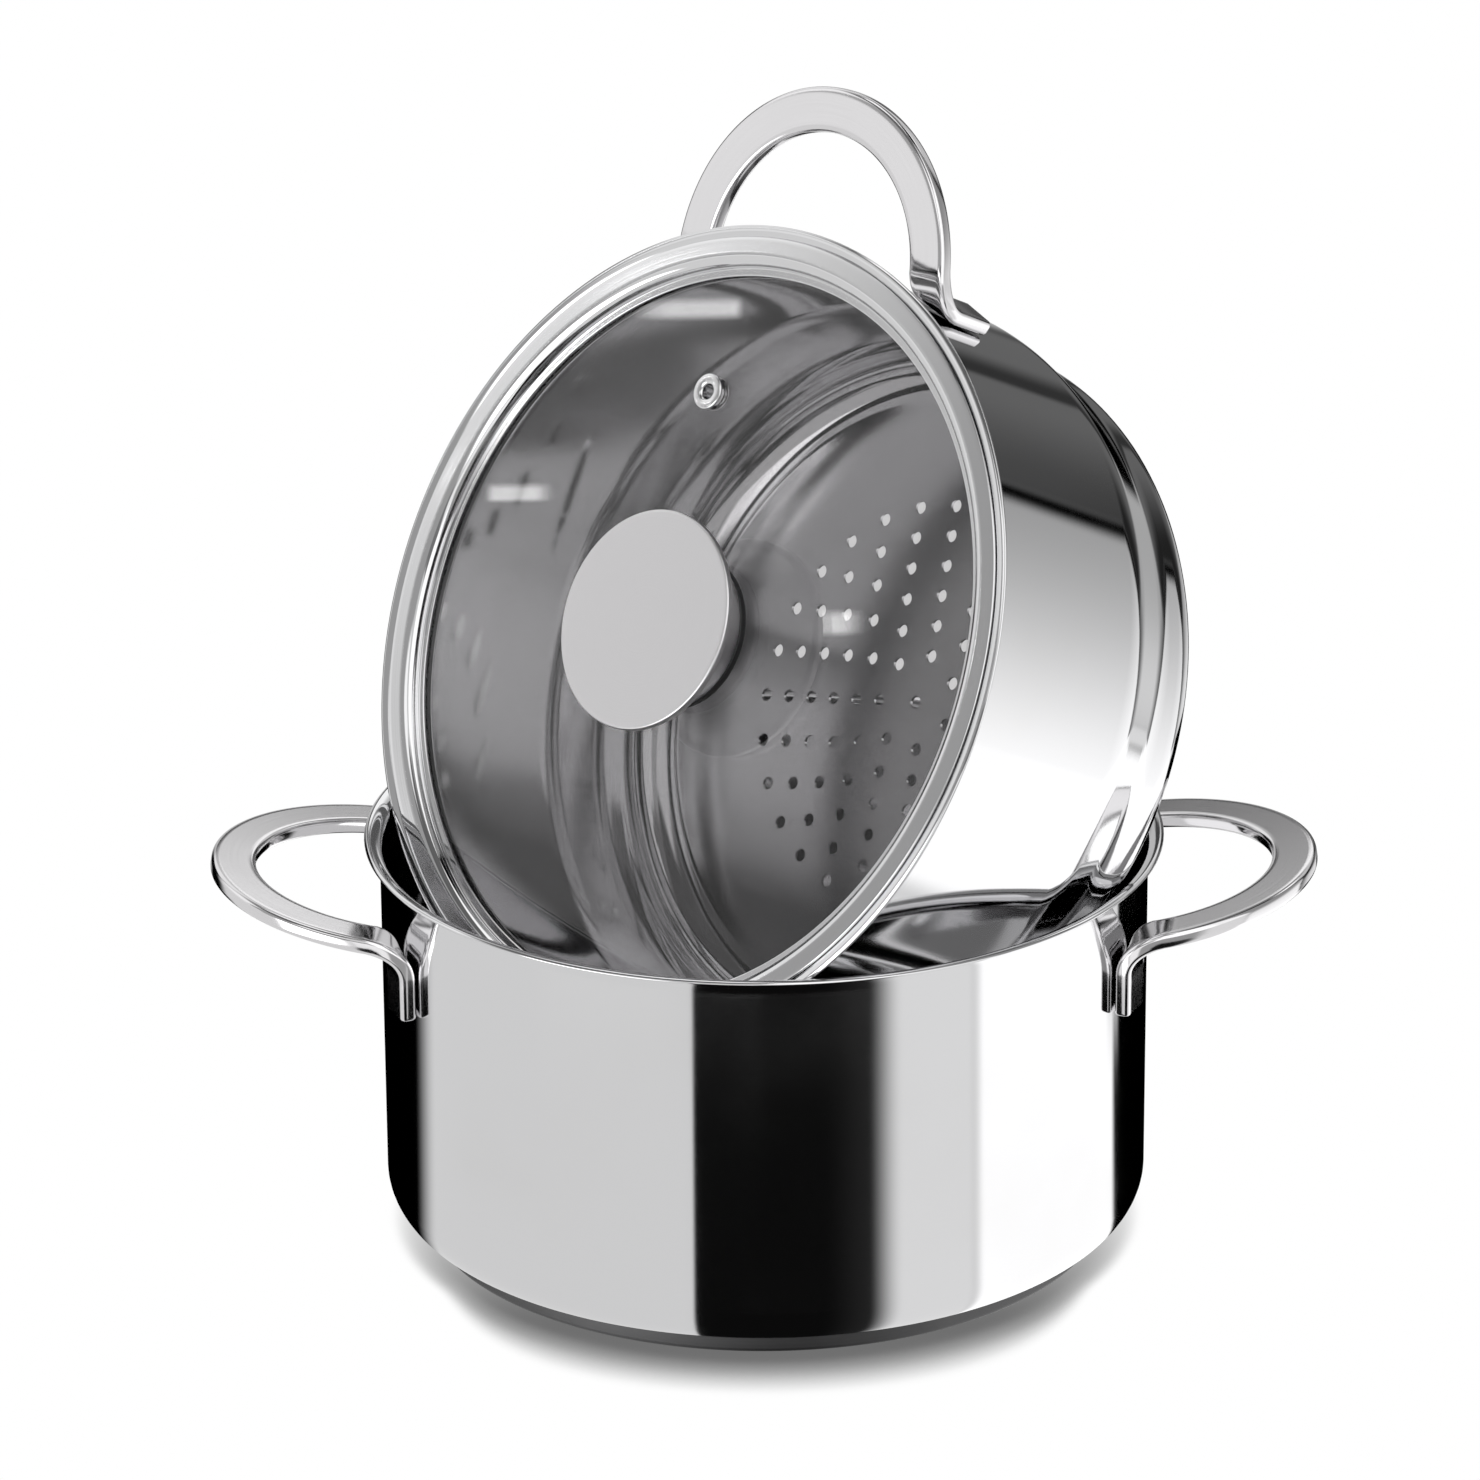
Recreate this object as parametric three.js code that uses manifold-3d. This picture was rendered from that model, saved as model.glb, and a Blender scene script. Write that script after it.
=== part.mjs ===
// Two-handled steel pot with a strainer basket leaning in its mouth and a glass lid on the basket.
// Millimetres, +Z up. The origin is on the pot's axis, at the underside of its base.
import * as THREE from "three";
import { mergeGeometries, mergeVertices } from "three/addons/utils/BufferGeometryUtils.js";
import Module from "manifold-3d";

const wasm = await Module();
wasm.setup();

// Clearances
const SEAT_GAP = 0.3; // between pieces that are brazed, welded, clamped or set on each other
const REST_GAP = 0.6; // between the leaning basket and the pot's mouth
const NEST_PLAY = 4; // between the basket's spigot and the pot's wall when the two are stacked
const LID_PLAY = 4.7; // between the lid's skirt and the basket's wall
const SCREW_PLAY = 0.4; // round the knob's screw

// Pot
const POT_RADIUS = 120; // outside of the wall
const POT_HEIGHT = 130; // underside of the base to the top of the lip
const POT_WALL = 1;
const POT_LIP = 5; // how far the lip stands out past the wall
const POT_CORNER = 12; // outside radius between the wall and the floor
const CORE_THICKNESS = 5.1; // aluminium disc in the base
const CAP_SHEET = 0.6; // steel cap round the disc
const CAP_CORNER = 1.8; // outside radius at the foot of the cap

// Strap handles, the same on pot and basket
const STRAP_WIDTH = 14;
const STRAP_THICKNESS = 5;
const STRAP_EDGE = 1.6; // radius of the strap's long edges
const HANDLE_REACH = 53; // wall to the outer edge of the loop
const LOOP_RADIUS = 49.5; // middle of the strap
const HANDLE_DROP = 14.6; // top of the lip to the strap's top face, where the strap turns down
const HANDLE_RISE = 8.5; // degrees that the loop climbs towards its outer end
const BEND_RADIUS = 11; // middle of the strap, where it turns down onto the wall
const TAB_LENGTH = 13.5; // straight end welded to the wall

// Strainer basket, measured down from the top of its lip
const BASKET_OVERSIZE = 1.5; // how much wider the basket's wall is than the pot's
const BASKET_WALL = 1;
const BASKET_LIP = 6.5;
const SHOULDER_TOP = 72.5; // where the wall starts to draw in
const SHOULDER_HEIGHT = 19.3; // the cone that sits in the pot's mouth
const BASKET_DEPTH = 114.4;
const BASKET_CORNER = 12.3;
const HOLE_DIAMETER = 4.2;
const HOLE_RINGS = 6;
const FIRST_RING_RADIUS = 15.5;
const RING_PITCH = 9.7;
const FIRST_RING_HOLES = 7;
const HOLES_ADDED = 4; // from each ring to the next
const HOLE_START = -84; // degrees from the lower handle to the first hole of each ring

// Pose of the basket in the pot's mouth, in degrees
const LEAN = 63.4; // basket's axis from upright
const HEADING = 222.6; // way the mouth faces, from +X
const TWIST = 7; // handles turned about the basket's axis

// Lid
const LID_SETBACK = 4; // edge of the lid's flange in from the edge of the basket's lip
const BAND_SHEET = 0.9; // steel band round the glass
const BAND_COVER = 2.5; // how far the band laps over the glass
const BAND_CROWN = 3.6; // radius where the flange turns down to the glass
const GLASS_RECESS = 4.9; // top of the basket's lip down to the glass
const GLASS_THICKNESS = 4;
const VENT_RADIUS = 76.5; // lid's axis to the steam vent
const VENT_TURN = 13; // degrees from the upper handle to the vent
const VENT_BORE = 4.5; // diameters of the vent
const VENT_BARREL = 7.4;
const VENT_FLANGE = 11.4;
const VENT_SHEET = 1.2;

// Knob
const KNOB_HEIGHT = 22.2; // above the glass
const KNOB_RADIUS = 34.3;
const KNOB_RIM = 2.6; // height of the disc's edge
const KNOB_SHEET = 1.2;
const KNOB_UNDERCUT = 2.3; // disc's edge past the top of the cone
const KNOB_FOOT_RADIUS = 24;
const KNOB_FOOT_HEIGHT = 2.8;
const KNOB_CORE_RADIUS = 17; // part of the core inside the shell
const KNOB_CORE_HEIGHT = 9;
const SEAL_THICKNESS = 1.2;
const UPPER_SEAL_RADIUS = 22;
const LOWER_SEAL_RADIUS = 9;
const WASHER_RADIUS = 8;
const WASHER_THICKNESS = 1;
const INSERT_RADIUS = 5;
const INSERT_HEIGHT = 8;
const SCREW_DIAMETER = 4;
const SCREW_HEAD_RADIUS = 5.5;
const SCREW_HEAD_HEIGHT = 2.6;
const SLOT_WIDTH = 1.2;
const SLOT_DEPTH = 1.3;

// Facets
const ROUND = 56; // sides of the large round pieces
const KNOB_ROUND = 40;
const SMALL_ROUND = 20; // sides of washers, screw and vent
const HOLE_SIDES = 6;
const ARC_STEPS = 3; // steps in a rounding
const EDGE_STEPS = 2; // steps in the round edge of a sheet
const CORNER_STEPS = 4; // steps where a wall turns into a floor
const BEND_STEPS = 5;
const LOOP_STEPS = 16;

const degrees = THREE.MathUtils.degToRad;

const polished = new THREE.MeshStandardMaterial({ color: 0xc9c9cb, roughness: 0.08, metalness: 1 });
const satin = new THREE.MeshStandardMaterial({ color: 0xc4c2c4, roughness: 0.35, metalness: 1 });
const aluminium = new THREE.MeshStandardMaterial({ color: 0xb4b6b8, roughness: 0.5, metalness: 1 });
const glass = new THREE.MeshStandardMaterial({ color: 0x9fa3a6, roughness: 0.05, opacity: 0.35 });
glass.transparent = true;
const phenolic = new THREE.MeshStandardMaterial({ color: 0x111112, roughness: 0.45 });
const silicone = new THREE.MeshStandardMaterial({ color: 0x1a1a1c, roughness: 0.8 });

function point(r, z) {
  return new THREE.Vector2(r, z);
}

// Points of a circular arc in the (radius, height) plane, angles in degrees.
function arc(r, z, radius, from, to, steps = ARC_STEPS) {
  const points = [];
  for (let i = 0; i <= steps; i++) {
    const angle = degrees(THREE.MathUtils.lerp(from, to, i / steps));
    points.push(point(r + radius * Math.cos(angle), z + radius * Math.sin(angle)));
  }
  return points;
}

// Solid of revolution about Z. The outline runs up its outer side and back down its inner side.
function turned(outline, sides = ROUND) {
  return new THREE.LatheGeometry(outline, sides).rotateX(Math.PI / 2);
}

// The same for an outline that doesn't reach the axis, closed by repeating its first point.
function turnedRing(outline, sides = ROUND) {
  return turned([...outline, outline[0].clone()], sides);
}

function rod(radius, low, high, sides) {
  const geometry = new THREE.CylinderGeometry(radius, radius, high - low, sides);
  return geometry.rotateX(Math.PI / 2).translate(0, 0, (low + high) / 2);
}

function toSolid(geometry) {
  const bare = geometry.index ? geometry.clone() : mergeVertices(geometry);
  bare.deleteAttribute("normal");
  bare.deleteAttribute("uv");
  const merged = mergeVertices(bare, 1e-4);
  return new wasm.Manifold(
    new wasm.Mesh({
      numProp: 3,
      vertProperties: new Float32Array(merged.attributes.position.array),
      triVerts: new Uint32Array(merged.index.array),
    }),
  );
}

function toGeometry(solid) {
  const mesh = solid.getMesh();
  const geometry = new THREE.BufferGeometry();
  geometry.setAttribute("position", new THREE.BufferAttribute(mesh.vertProperties, 3));
  geometry.setIndex(new THREE.BufferAttribute(mesh.triVerts, 1));
  geometry.computeVertexNormals();
  return geometry;
}

function cut(geometry, ...tools) {
  const tool = toSolid(mergeGeometries(tools));
  return toGeometry(toSolid(geometry).subtract(tool));
}

function mesh(name, geometry, material) {
  const piece = new THREE.Mesh(geometry, material);
  piece.name = name;
  return piece;
}

// Outer half of a drawn vessel's mouth: the wall curls outwards into a lip with a round edge.
function mouthOutside(wallRadius, wall, lip, top) {
  const flare = lip + wall / 2;
  const edge = wallRadius + lip - wall / 2;
  return [
    ...arc(edge, top - flare, flare - wall, 180, 90),
    ...arc(edge, top - wall / 2, wall / 2, -90, 90, EDGE_STEPS),
  ];
}

function mouthInside(wallRadius, wall, lip, top) {
  const flare = lip + wall / 2;
  const edge = wallRadius + lip - wall / 2;
  return arc(edge, top - flare, flare, 90, 180);
}

// Inner radius of a flared mouth at a depth below the top of its lip.
function mouthRadius(wallRadius, wall, lip, depth) {
  const flare = lip + wall / 2;
  const climb = Math.max(0, flare - depth);
  return wallRadius - wall + flare - Math.sqrt(Math.max(0, flare * flare - climb * climb));
}

// Depth of a flared mouth's inner face at a radius.
function mouthDepth(wallRadius, wall, lip, radius) {
  const flare = lip + wall / 2;
  const reach = wallRadius - wall + flare - radius;
  return flare - Math.sqrt(flare * flare - reach * reach);
}

// Pot
const capTop = CAP_SHEET + SEAT_GAP + CORE_THICKNESS;
const potUnderside = capTop + SEAT_GAP;
const potFloor = potUnderside + POT_WALL;
const potInside = POT_RADIUS - POT_WALL;
const footRadius = POT_RADIUS - POT_CORNER;

function potBody() {
  const turn = potUnderside + POT_CORNER;
  return turned([
    point(0, potUnderside),
    ...arc(footRadius, turn, POT_CORNER, -90, 0, CORNER_STEPS),
    ...mouthOutside(POT_RADIUS, POT_WALL, POT_LIP, POT_HEIGHT),
    ...mouthInside(POT_RADIUS, POT_WALL, POT_LIP, POT_HEIGHT),
    ...arc(footRadius, turn, POT_CORNER - POT_WALL, 0, -90, CORNER_STEPS),
    point(0, potFloor),
  ]);
}

function baseCore() {
  const radius = footRadius - CAP_SHEET - SEAT_GAP;
  const low = CAP_SHEET + SEAT_GAP;
  const chamfer = CAP_CORNER - CAP_SHEET;
  return turned([
    point(0, low),
    point(radius - chamfer, low),
    point(radius, low + chamfer),
    point(radius, capTop),
    point(0, capTop),
  ]);
}

function baseCap() {
  const corner = footRadius - CAP_CORNER;
  return turned([
    point(0, 0),
    ...arc(corner, CAP_CORNER, CAP_CORNER, -90, 0),
    point(footRadius, capTop),
    point(footRadius - CAP_SHEET, capTop),
    ...arc(corner, CAP_CORNER, CAP_CORNER - CAP_SHEET, 0, -90),
    point(0, CAP_SHEET),
  ]);
}

// Section of the strap: a rectangle with rounded edges, across by up.
function strapSection() {
  const across = STRAP_WIDTH / 2 - STRAP_EDGE;
  const up = STRAP_THICKNESS / 2 - STRAP_EDGE;
  return [
    ...arc(across, up, STRAP_EDGE, 0, 90, EDGE_STEPS),
    ...arc(-across, up, STRAP_EDGE, 90, 180, EDGE_STEPS),
    ...arc(-across, -up, STRAP_EDGE, 180, 270, EDGE_STEPS),
    ...arc(across, -up, STRAP_EDGE, 270, 360, EDGE_STEPS),
  ];
}

// Sweeps a section along stations that each hold a point and the section's across and up ways.
function swept(section, stations) {
  const positions = [];
  for (const { at, across, up } of stations) {
    for (const corner of section) {
      const p = at.clone().addScaledVector(across, corner.x).addScaledVector(up, corner.y);
      positions.push(p.x, p.y, p.z);
    }
  }
  const n = section.length;
  const last = (stations.length - 1) * n;
  const index = [];
  for (let ring = 0; ring < last; ring += n) {
    for (let i = 0; i < n; i++) {
      const j = (i + 1) % n;
      index.push(ring + i, ring + j, ring + n + j);
      index.push(ring + i, ring + n + j, ring + n + i);
    }
  }
  for (let i = 1; i < n - 1; i++) {
    index.push(0, i + 1, i);
    index.push(last, last + i, last + i + 1);
  }
  const geometry = new THREE.BufferGeometry();
  geometry.setAttribute("position", new THREE.Float32BufferAttribute(positions, 3));
  geometry.setIndex(index);
  geometry.computeVertexNormals();
  return geometry;
}

// Middle line of the strap: a round loop that climbs outwards, turns down and lies flat on the wall.
const rise = degrees(HANDLE_RISE);
function handleLoop(wallRadius) {
  const centre = wallRadius + HANDLE_REACH - STRAP_WIDTH / 2 - LOOP_RADIUS;
  const tabRadius = wallRadius + SEAT_GAP + STRAP_THICKNESS / 2;
  const advance = BEND_RADIUS * (1 - Math.sin(rise));
  const span = Math.hypot(LOOP_RADIUS, advance);
  const reach = (tabRadius ** 2 - centre ** 2 - span ** 2) / (2 * centre * span);
  const end = Math.acos(reach) - Math.atan2(advance, LOOP_RADIUS);
  const root = centre + LOOP_RADIUS * Math.cos(end);
  return { centre, advance, end, root };
}

function strapHandle(wallRadius) {
  const { centre, advance, end, root } = handleLoop(wallRadius);
  const stations = [];
  const addStation = (at, tangent, across) => {
    const up = new THREE.Vector3().crossVectors(tangent, across).normalize();
    stations.push({ at, across: new THREE.Vector3().crossVectors(up, tangent).normalize(), up });
  };
  const inward = new THREE.Vector2(-Math.sin(end), Math.cos(end));
  const start = new THREE.Vector2(root, LOOP_RADIUS * Math.sin(end));
  const tab = start.clone().addScaledVector(inward, advance);
  const tabTurn = Math.atan2(tab.y, tab.x) + Math.PI / 2;
  const tabTop = -BEND_RADIUS * Math.cos(rise);
  const plan = (angle) => new THREE.Vector3(Math.cos(angle), Math.sin(angle), 0);

  addStation(new THREE.Vector3(tab.x, tab.y, tabTop - TAB_LENGTH), new THREE.Vector3(0, 0, 1), plan(tabTurn));
  for (let i = BEND_STEPS; i > 0; i--) {
    const slope = THREE.MathUtils.lerp(rise, Math.PI / 2, i / BEND_STEPS);
    const along = BEND_RADIUS * (Math.sin(slope) - Math.sin(rise));
    const drop = BEND_RADIUS * (Math.cos(rise) - Math.cos(slope));
    const at = new THREE.Vector3(start.x + inward.x * along, start.y + inward.y * along, -drop);
    const flat = Math.cos(slope);
    const tangent = new THREE.Vector3(-inward.x * flat, -inward.y * flat, Math.sin(slope));
    const turn = THREE.MathUtils.smoothstep(i / BEND_STEPS, 0, 1);
    addStation(at, tangent, plan(THREE.MathUtils.lerp(end, tabTurn, turn)));
  }
  const climb = Math.tan(rise);
  for (let i = 0; i <= LOOP_STEPS; i++) {
    const angle = THREE.MathUtils.lerp(end, -end, i / LOOP_STEPS);
    const x = centre + LOOP_RADIUS * Math.cos(angle);
    const at = new THREE.Vector3(x, LOOP_RADIUS * Math.sin(angle), (x - root) * climb);
    const tangent = new THREE.Vector3(Math.sin(angle), -Math.cos(angle), Math.sin(angle) * climb).normalize();
    addStation(at, tangent, plan(angle).setZ(Math.cos(angle) * climb));
  }
  const mirrored = stations.slice(0, BEND_STEPS + 1).reverse();
  for (const { at, across, up } of mirrored) {
    const flip = new THREE.Vector3(1, -1, 1);
    stations.push({
      at: at.clone().multiply(flip),
      across: across.clone().multiply(flip),
      up: up.clone().multiply(flip),
    });
  }
  return swept(strapSection(), stations);
}

const strapBelowLip = HANDLE_DROP + STRAP_THICKNESS / 2;
function handle(name, wallRadius, lipTop, turn) {
  const piece = mesh(name, strapHandle(wallRadius), satin);
  piece.position.z = lipTop - strapBelowLip;
  piece.rotation.z = turn;
  return piece;
}

// Basket, in its own frame: its axis is Z and the top of its lip is at zero.
const basketRadius = POT_RADIUS + BASKET_OVERSIZE;
const basketInside = basketRadius - BASKET_WALL;
const spigotRadius = potInside - NEST_PLAY;
const shoulderFoot = SHOULDER_TOP + SHOULDER_HEIGHT;

function basketOutside() {
  const cornerRadius = spigotRadius - BASKET_CORNER;
  return [
    point(0, -BASKET_DEPTH),
    ...arc(cornerRadius, BASKET_CORNER - BASKET_DEPTH, BASKET_CORNER, -90, 0, CORNER_STEPS),
    point(spigotRadius, -shoulderFoot),
    point(basketRadius, -SHOULDER_TOP),
    ...mouthOutside(basketRadius, BASKET_WALL, BASKET_LIP, 0),
  ];
}

function basketHoles() {
  const floor = -BASKET_DEPTH;
  const hole = rod(HOLE_DIAMETER / 2, floor - BASKET_WALL, floor + 2 * BASKET_WALL, HOLE_SIDES);
  const holes = [hole];
  for (let ring = 0; ring < HOLE_RINGS; ring++) {
    const radius = FIRST_RING_RADIUS + ring * RING_PITCH;
    const count = FIRST_RING_HOLES + ring * HOLES_ADDED;
    for (let i = 0; i < count; i++) {
      const angle = degrees(HOLE_START) + (2 * Math.PI * i) / count;
      holes.push(hole.clone().translate(radius * Math.cos(angle), radius * Math.sin(angle), 0));
    }
  }
  return holes;
}

function basketBody() {
  const cornerRadius = spigotRadius - BASKET_CORNER;
  const shell = turned([
    ...basketOutside(),
    ...mouthInside(basketRadius, BASKET_WALL, BASKET_LIP, 0),
    point(basketInside, -SHOULDER_TOP),
    point(spigotRadius - BASKET_WALL, -shoulderFoot),
    ...arc(cornerRadius, BASKET_CORNER - BASKET_DEPTH, BASKET_CORNER - BASKET_WALL, 0, -90, CORNER_STEPS),
    point(0, BASKET_WALL - BASKET_DEPTH),
  ]);
  return cut(shell, ...basketHoles());
}

// Resting place of the leaning basket: as low as its lip, wall and lower handle can go in the mouth.
const lean = degrees(LEAN);
const heading = degrees(HEADING);

function basketTurn(group) {
  group.rotateZ(heading);
  group.rotateY(lean);
  group.rotateZ(degrees(TWIST));
}

// Points of the basket's outside and of its lower handle's outer edge, turned as the basket leans.
function leaningPoints() {
  const turn = new THREE.Group();
  basketTurn(turn);
  const spacing = 2;
  const points = [];
  const outline = basketOutside();
  outline.slice(1).forEach((to, i) => {
    const steps = Math.ceil(outline[i].distanceTo(to) / spacing);
    for (let k = 1; k <= steps; k++) {
      const p = outline[i].clone().lerp(to, k / steps);
      for (let a = 0; a < 2 * Math.PI; a += degrees(3)) {
        points.push(new THREE.Vector3(p.x * Math.cos(a), p.x * Math.sin(a), p.y));
      }
    }
  });
  const { centre, end, root } = handleLoop(basketRadius);
  const outer = LOOP_RADIUS + STRAP_WIDTH / 2;
  for (let a = -end; a <= end; a += degrees(3)) {
    const x = centre + outer * Math.cos(a);
    const z = (x - root) * Math.tan(rise) - strapBelowLip;
    points.push(new THREE.Vector3(x, outer * Math.sin(a), z + STRAP_THICKNESS / 2));
    points.push(new THREE.Vector3(x, outer * Math.sin(a), z - STRAP_THICKNESS / 2));
  }
  return points.map((p) => p.applyQuaternion(turn.quaternion));
}

// Room between a point and the pot's inner faces, or infinity above the mouth.
function roomInPot(x, y, z) {
  if (z > POT_HEIGHT) {
    return Infinity;
  }
  const wallRoom = mouthRadius(POT_RADIUS, POT_WALL, POT_LIP, POT_HEIGHT - z) - Math.hypot(x, y);
  return Math.min(wallRoom, z - potFloor);
}

function restingPlace() {
  const points = leaningPoints();
  const way = new THREE.Vector3(Math.cos(heading), Math.sin(heading), 0);
  const roomAt = (along, height) => {
    let front = Infinity;
    let back = Infinity;
    for (const p of points) {
      const x = p.x + way.x * along;
      const y = p.y + way.y * along;
      const room = roomInPot(x, y, p.z + height);
      if (x * way.x + y * way.y > 0) {
        front = Math.min(front, room);
      } else {
        back = Math.min(back, room);
      }
    }
    return { front, back };
  };
  const halve = (low, high, tooLow) => {
    for (let i = 0; i < 24; i++) {
      const middle = (low + high) / 2;
      if (tooLow(middle)) {
        low = middle;
      } else {
        high = middle;
      }
    }
    return high;
  };
  const centred = (height) =>
    halve(-potInside, potInside, (along) => {
      const { front, back } = roomAt(along, height);
      return front > back;
    });
  const height = halve(0, POT_HEIGHT + 2 * basketRadius, (tried) => {
    const { front, back } = roomAt(centred(tried), tried);
    return Math.min(front, back) < REST_GAP;
  });
  return way.multiplyScalar(centred(height)).setZ(height);
}

// Lid, in its own frame: its axis is Z and the top of the basket's lip is at zero.
const lidRadius = basketRadius + BASKET_LIP - LID_SETBACK;
const flangeLow = SEAT_GAP - mouthDepth(basketRadius, BASKET_WALL, BASKET_LIP, lidRadius);
const flangeTop = flangeLow + BAND_SHEET;
const skirtRadius = basketInside - LID_PLAY;
const channelRadius = skirtRadius - BAND_SHEET;
const glassRadius = channelRadius - SEAT_GAP;
const glassTop = -GLASS_RECESS;
const glassUnder = glassTop - GLASS_THICKNESS;
const shownRadius = channelRadius - BAND_COVER;

function lidBand() {
  const half = BAND_SHEET / 2;
  const lapLow = glassTop + SEAT_GAP;
  const hemTop = glassUnder - SEAT_GAP;
  const hemLow = hemTop - BAND_SHEET;
  const crown = channelRadius + BAND_CROWN;
  return turnedRing([
    ...arc(skirtRadius - BAND_SHEET, hemLow + BAND_SHEET, BAND_SHEET, -90, 0, EDGE_STEPS),
    ...arc(crown, flangeTop - BAND_CROWN, BAND_CROWN - BAND_SHEET, 180, 90),
    ...arc(lidRadius - half, flangeLow + half, half, -90, 90, EDGE_STEPS),
    ...arc(crown, flangeTop - BAND_CROWN, BAND_CROWN, 90, 180),
    point(channelRadius, lapLow + BAND_SHEET),
    ...arc(shownRadius + half, lapLow + half, half, 90, 270, EDGE_STEPS),
    point(channelRadius, lapLow),
    point(channelRadius, hemTop),
    ...arc(shownRadius + half, hemTop - half, half, 90, 270, EDGE_STEPS),
  ]);
}

const screwHole = SCREW_DIAMETER / 2 + SCREW_PLAY;
function lidGlass() {
  const ease = SEAT_GAP;
  const plate = turnedRing([
    point(screwHole, glassUnder),
    point(glassRadius - ease, glassUnder),
    point(glassRadius, glassUnder + ease),
    point(glassRadius, glassTop - ease),
    point(glassRadius - ease, glassTop),
    point(screwHole, glassTop),
  ]);
  const ventHole = rod(VENT_BARREL / 2 + SEAT_GAP, glassUnder - 1, glassTop + 1, SMALL_ROUND);
  return cut(plate, ventHole.translate(-VENT_RADIUS, 0, 0));
}

function ventEyelet() {
  const bore = VENT_BORE / 2;
  const barrel = VENT_BARREL / 2;
  const flange = VENT_FLANGE / 2;
  const half = VENT_SHEET / 2;
  const upper = glassTop + SEAT_GAP;
  const lower = glassUnder - SEAT_GAP;
  return turnedRing(
    [
      point(bore, lower - VENT_SHEET),
      ...arc(flange - half, lower - half, half, -90, 90, EDGE_STEPS),
      point(barrel, lower),
      point(barrel, upper),
      ...arc(flange - half, upper + half, half, -90, 90),
      point(bore + half, upper + VENT_SHEET),
      point(bore, upper + half),
    ],
    SMALL_ROUND,
  );
}

// Knob, built up from the glass
const sealLow = glassTop + SEAT_GAP;
const footLow = sealLow + SEAL_THICKNESS + SEAT_GAP;
const footTop = footLow + KNOB_FOOT_HEIGHT;
const knobTop = glassTop + KNOB_HEIGHT;
const insertRoom = INSERT_RADIUS + SEAT_GAP;

function knobShell() {
  const low = footTop + SEAT_GAP;
  const rimLow = knobTop - KNOB_RIM;
  const round = KNOB_RIM / 3;
  const coneTop = KNOB_RADIUS - KNOB_UNDERCUT;
  return turned(
    [
      point(KNOB_FOOT_RADIUS - KNOB_SHEET, low),
      point(KNOB_FOOT_RADIUS, low),
      point(coneTop, rimLow),
      point(KNOB_RADIUS - round, rimLow),
      point(KNOB_RADIUS, rimLow + round),
      ...arc(KNOB_RADIUS - round, knobTop - round, round, 0, 90),
      point(0, knobTop),
      point(0, knobTop - KNOB_SHEET),
      point(coneTop - KNOB_SHEET, knobTop - KNOB_SHEET),
      point(coneTop - KNOB_SHEET, rimLow),
      point(KNOB_FOOT_RADIUS - KNOB_SHEET, low),
    ],
    KNOB_ROUND,
  );
}

function knobCore() {
  return turned(
    [
      point(insertRoom, footLow),
      point(KNOB_FOOT_RADIUS, footLow),
      point(KNOB_FOOT_RADIUS, footTop),
      point(KNOB_CORE_RADIUS, footTop),
      point(KNOB_CORE_RADIUS, footTop + KNOB_CORE_HEIGHT),
      point(0, footTop + KNOB_CORE_HEIGHT),
      point(0, footLow + INSERT_HEIGHT + SEAT_GAP),
      point(insertRoom, footLow + INSERT_HEIGHT + SEAT_GAP),
      point(insertRoom, footLow),
    ],
    KNOB_ROUND,
  );
}

function washer(outer, low, thickness) {
  const high = low + thickness;
  const outline = [point(screwHole, low), point(outer, low), point(outer, high), point(screwHole, high)];
  return turnedRing(outline, SMALL_ROUND);
}

const lowerSealLow = glassUnder - SEAT_GAP - SEAL_THICKNESS;
const washerLow = lowerSealLow - SEAT_GAP - WASHER_THICKNESS;
const headTop = washerLow - SEAT_GAP;

function knobScrew() {
  const shank = SCREW_DIAMETER / 2;
  const headLow = headTop - SCREW_HEAD_HEIGHT;
  const tip = footLow + INSERT_HEIGHT - SEAT_GAP;
  const round = SCREW_HEAD_HEIGHT / 2;
  const screw = turned(
    [
      point(0, headLow),
      ...arc(SCREW_HEAD_RADIUS - round, headLow + round, round, -90, 0),
      point(SCREW_HEAD_RADIUS, headTop),
      point(shank, headTop),
      point(shank, tip),
      point(0, tip),
    ],
    SMALL_ROUND,
  );
  const slot = new THREE.BoxGeometry(4 * SCREW_HEAD_RADIUS, SLOT_WIDTH, 2 * SLOT_DEPTH);
  return cut(screw, slot.translate(0, 0, headLow));
}

const lid = new THREE.Group();
lid.rotation.z = degrees(VENT_TURN);
const vent = mesh("lid_vent_eyelet", ventEyelet(), polished);
vent.position.x = -VENT_RADIUS;
lid.add(
  mesh("lid_glass", lidGlass(), glass),
  mesh("lid_band", lidBand(), polished),
  vent,
  mesh("knob_shell", knobShell(), satin),
  mesh("knob_core", knobCore(), phenolic),
  mesh("knob_insert", washer(INSERT_RADIUS, footLow, INSERT_HEIGHT), satin),
  mesh("knob_upper_seal", washer(UPPER_SEAL_RADIUS, sealLow, SEAL_THICKNESS), silicone),
  mesh("knob_lower_seal", washer(LOWER_SEAL_RADIUS, lowerSealLow, SEAL_THICKNESS), silicone),
  mesh("knob_washer", washer(WASHER_RADIUS, washerLow, WASHER_THICKNESS), satin),
  mesh("knob_screw", knobScrew(), satin),
);

const basket = new THREE.Group();
basketTurn(basket);
basket.position.copy(restingPlace());
basket.add(
  mesh("basket_body", basketBody(), polished),
  handle("basket_handle_upper", basketRadius, 0, Math.PI),
  handle("basket_handle_lower", basketRadius, 0, 0),
  lid,
);

const pot = new THREE.Group();
pot.add(
  mesh("pot_body", potBody(), polished),
  mesh("pot_base_core", baseCore(), aluminium),
  mesh("pot_base_cap", baseCap(), polished),
  handle("pot_handle_left", POT_RADIUS, POT_HEIGHT, Math.PI),
  handle("pot_handle_right", POT_RADIUS, POT_HEIGHT, 0),
  basket,
);

export default pot;
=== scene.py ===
"""Dresses a steel pasta pot with a strainer basket and a glass lid, and sets up the studio round it."""

import math

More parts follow.
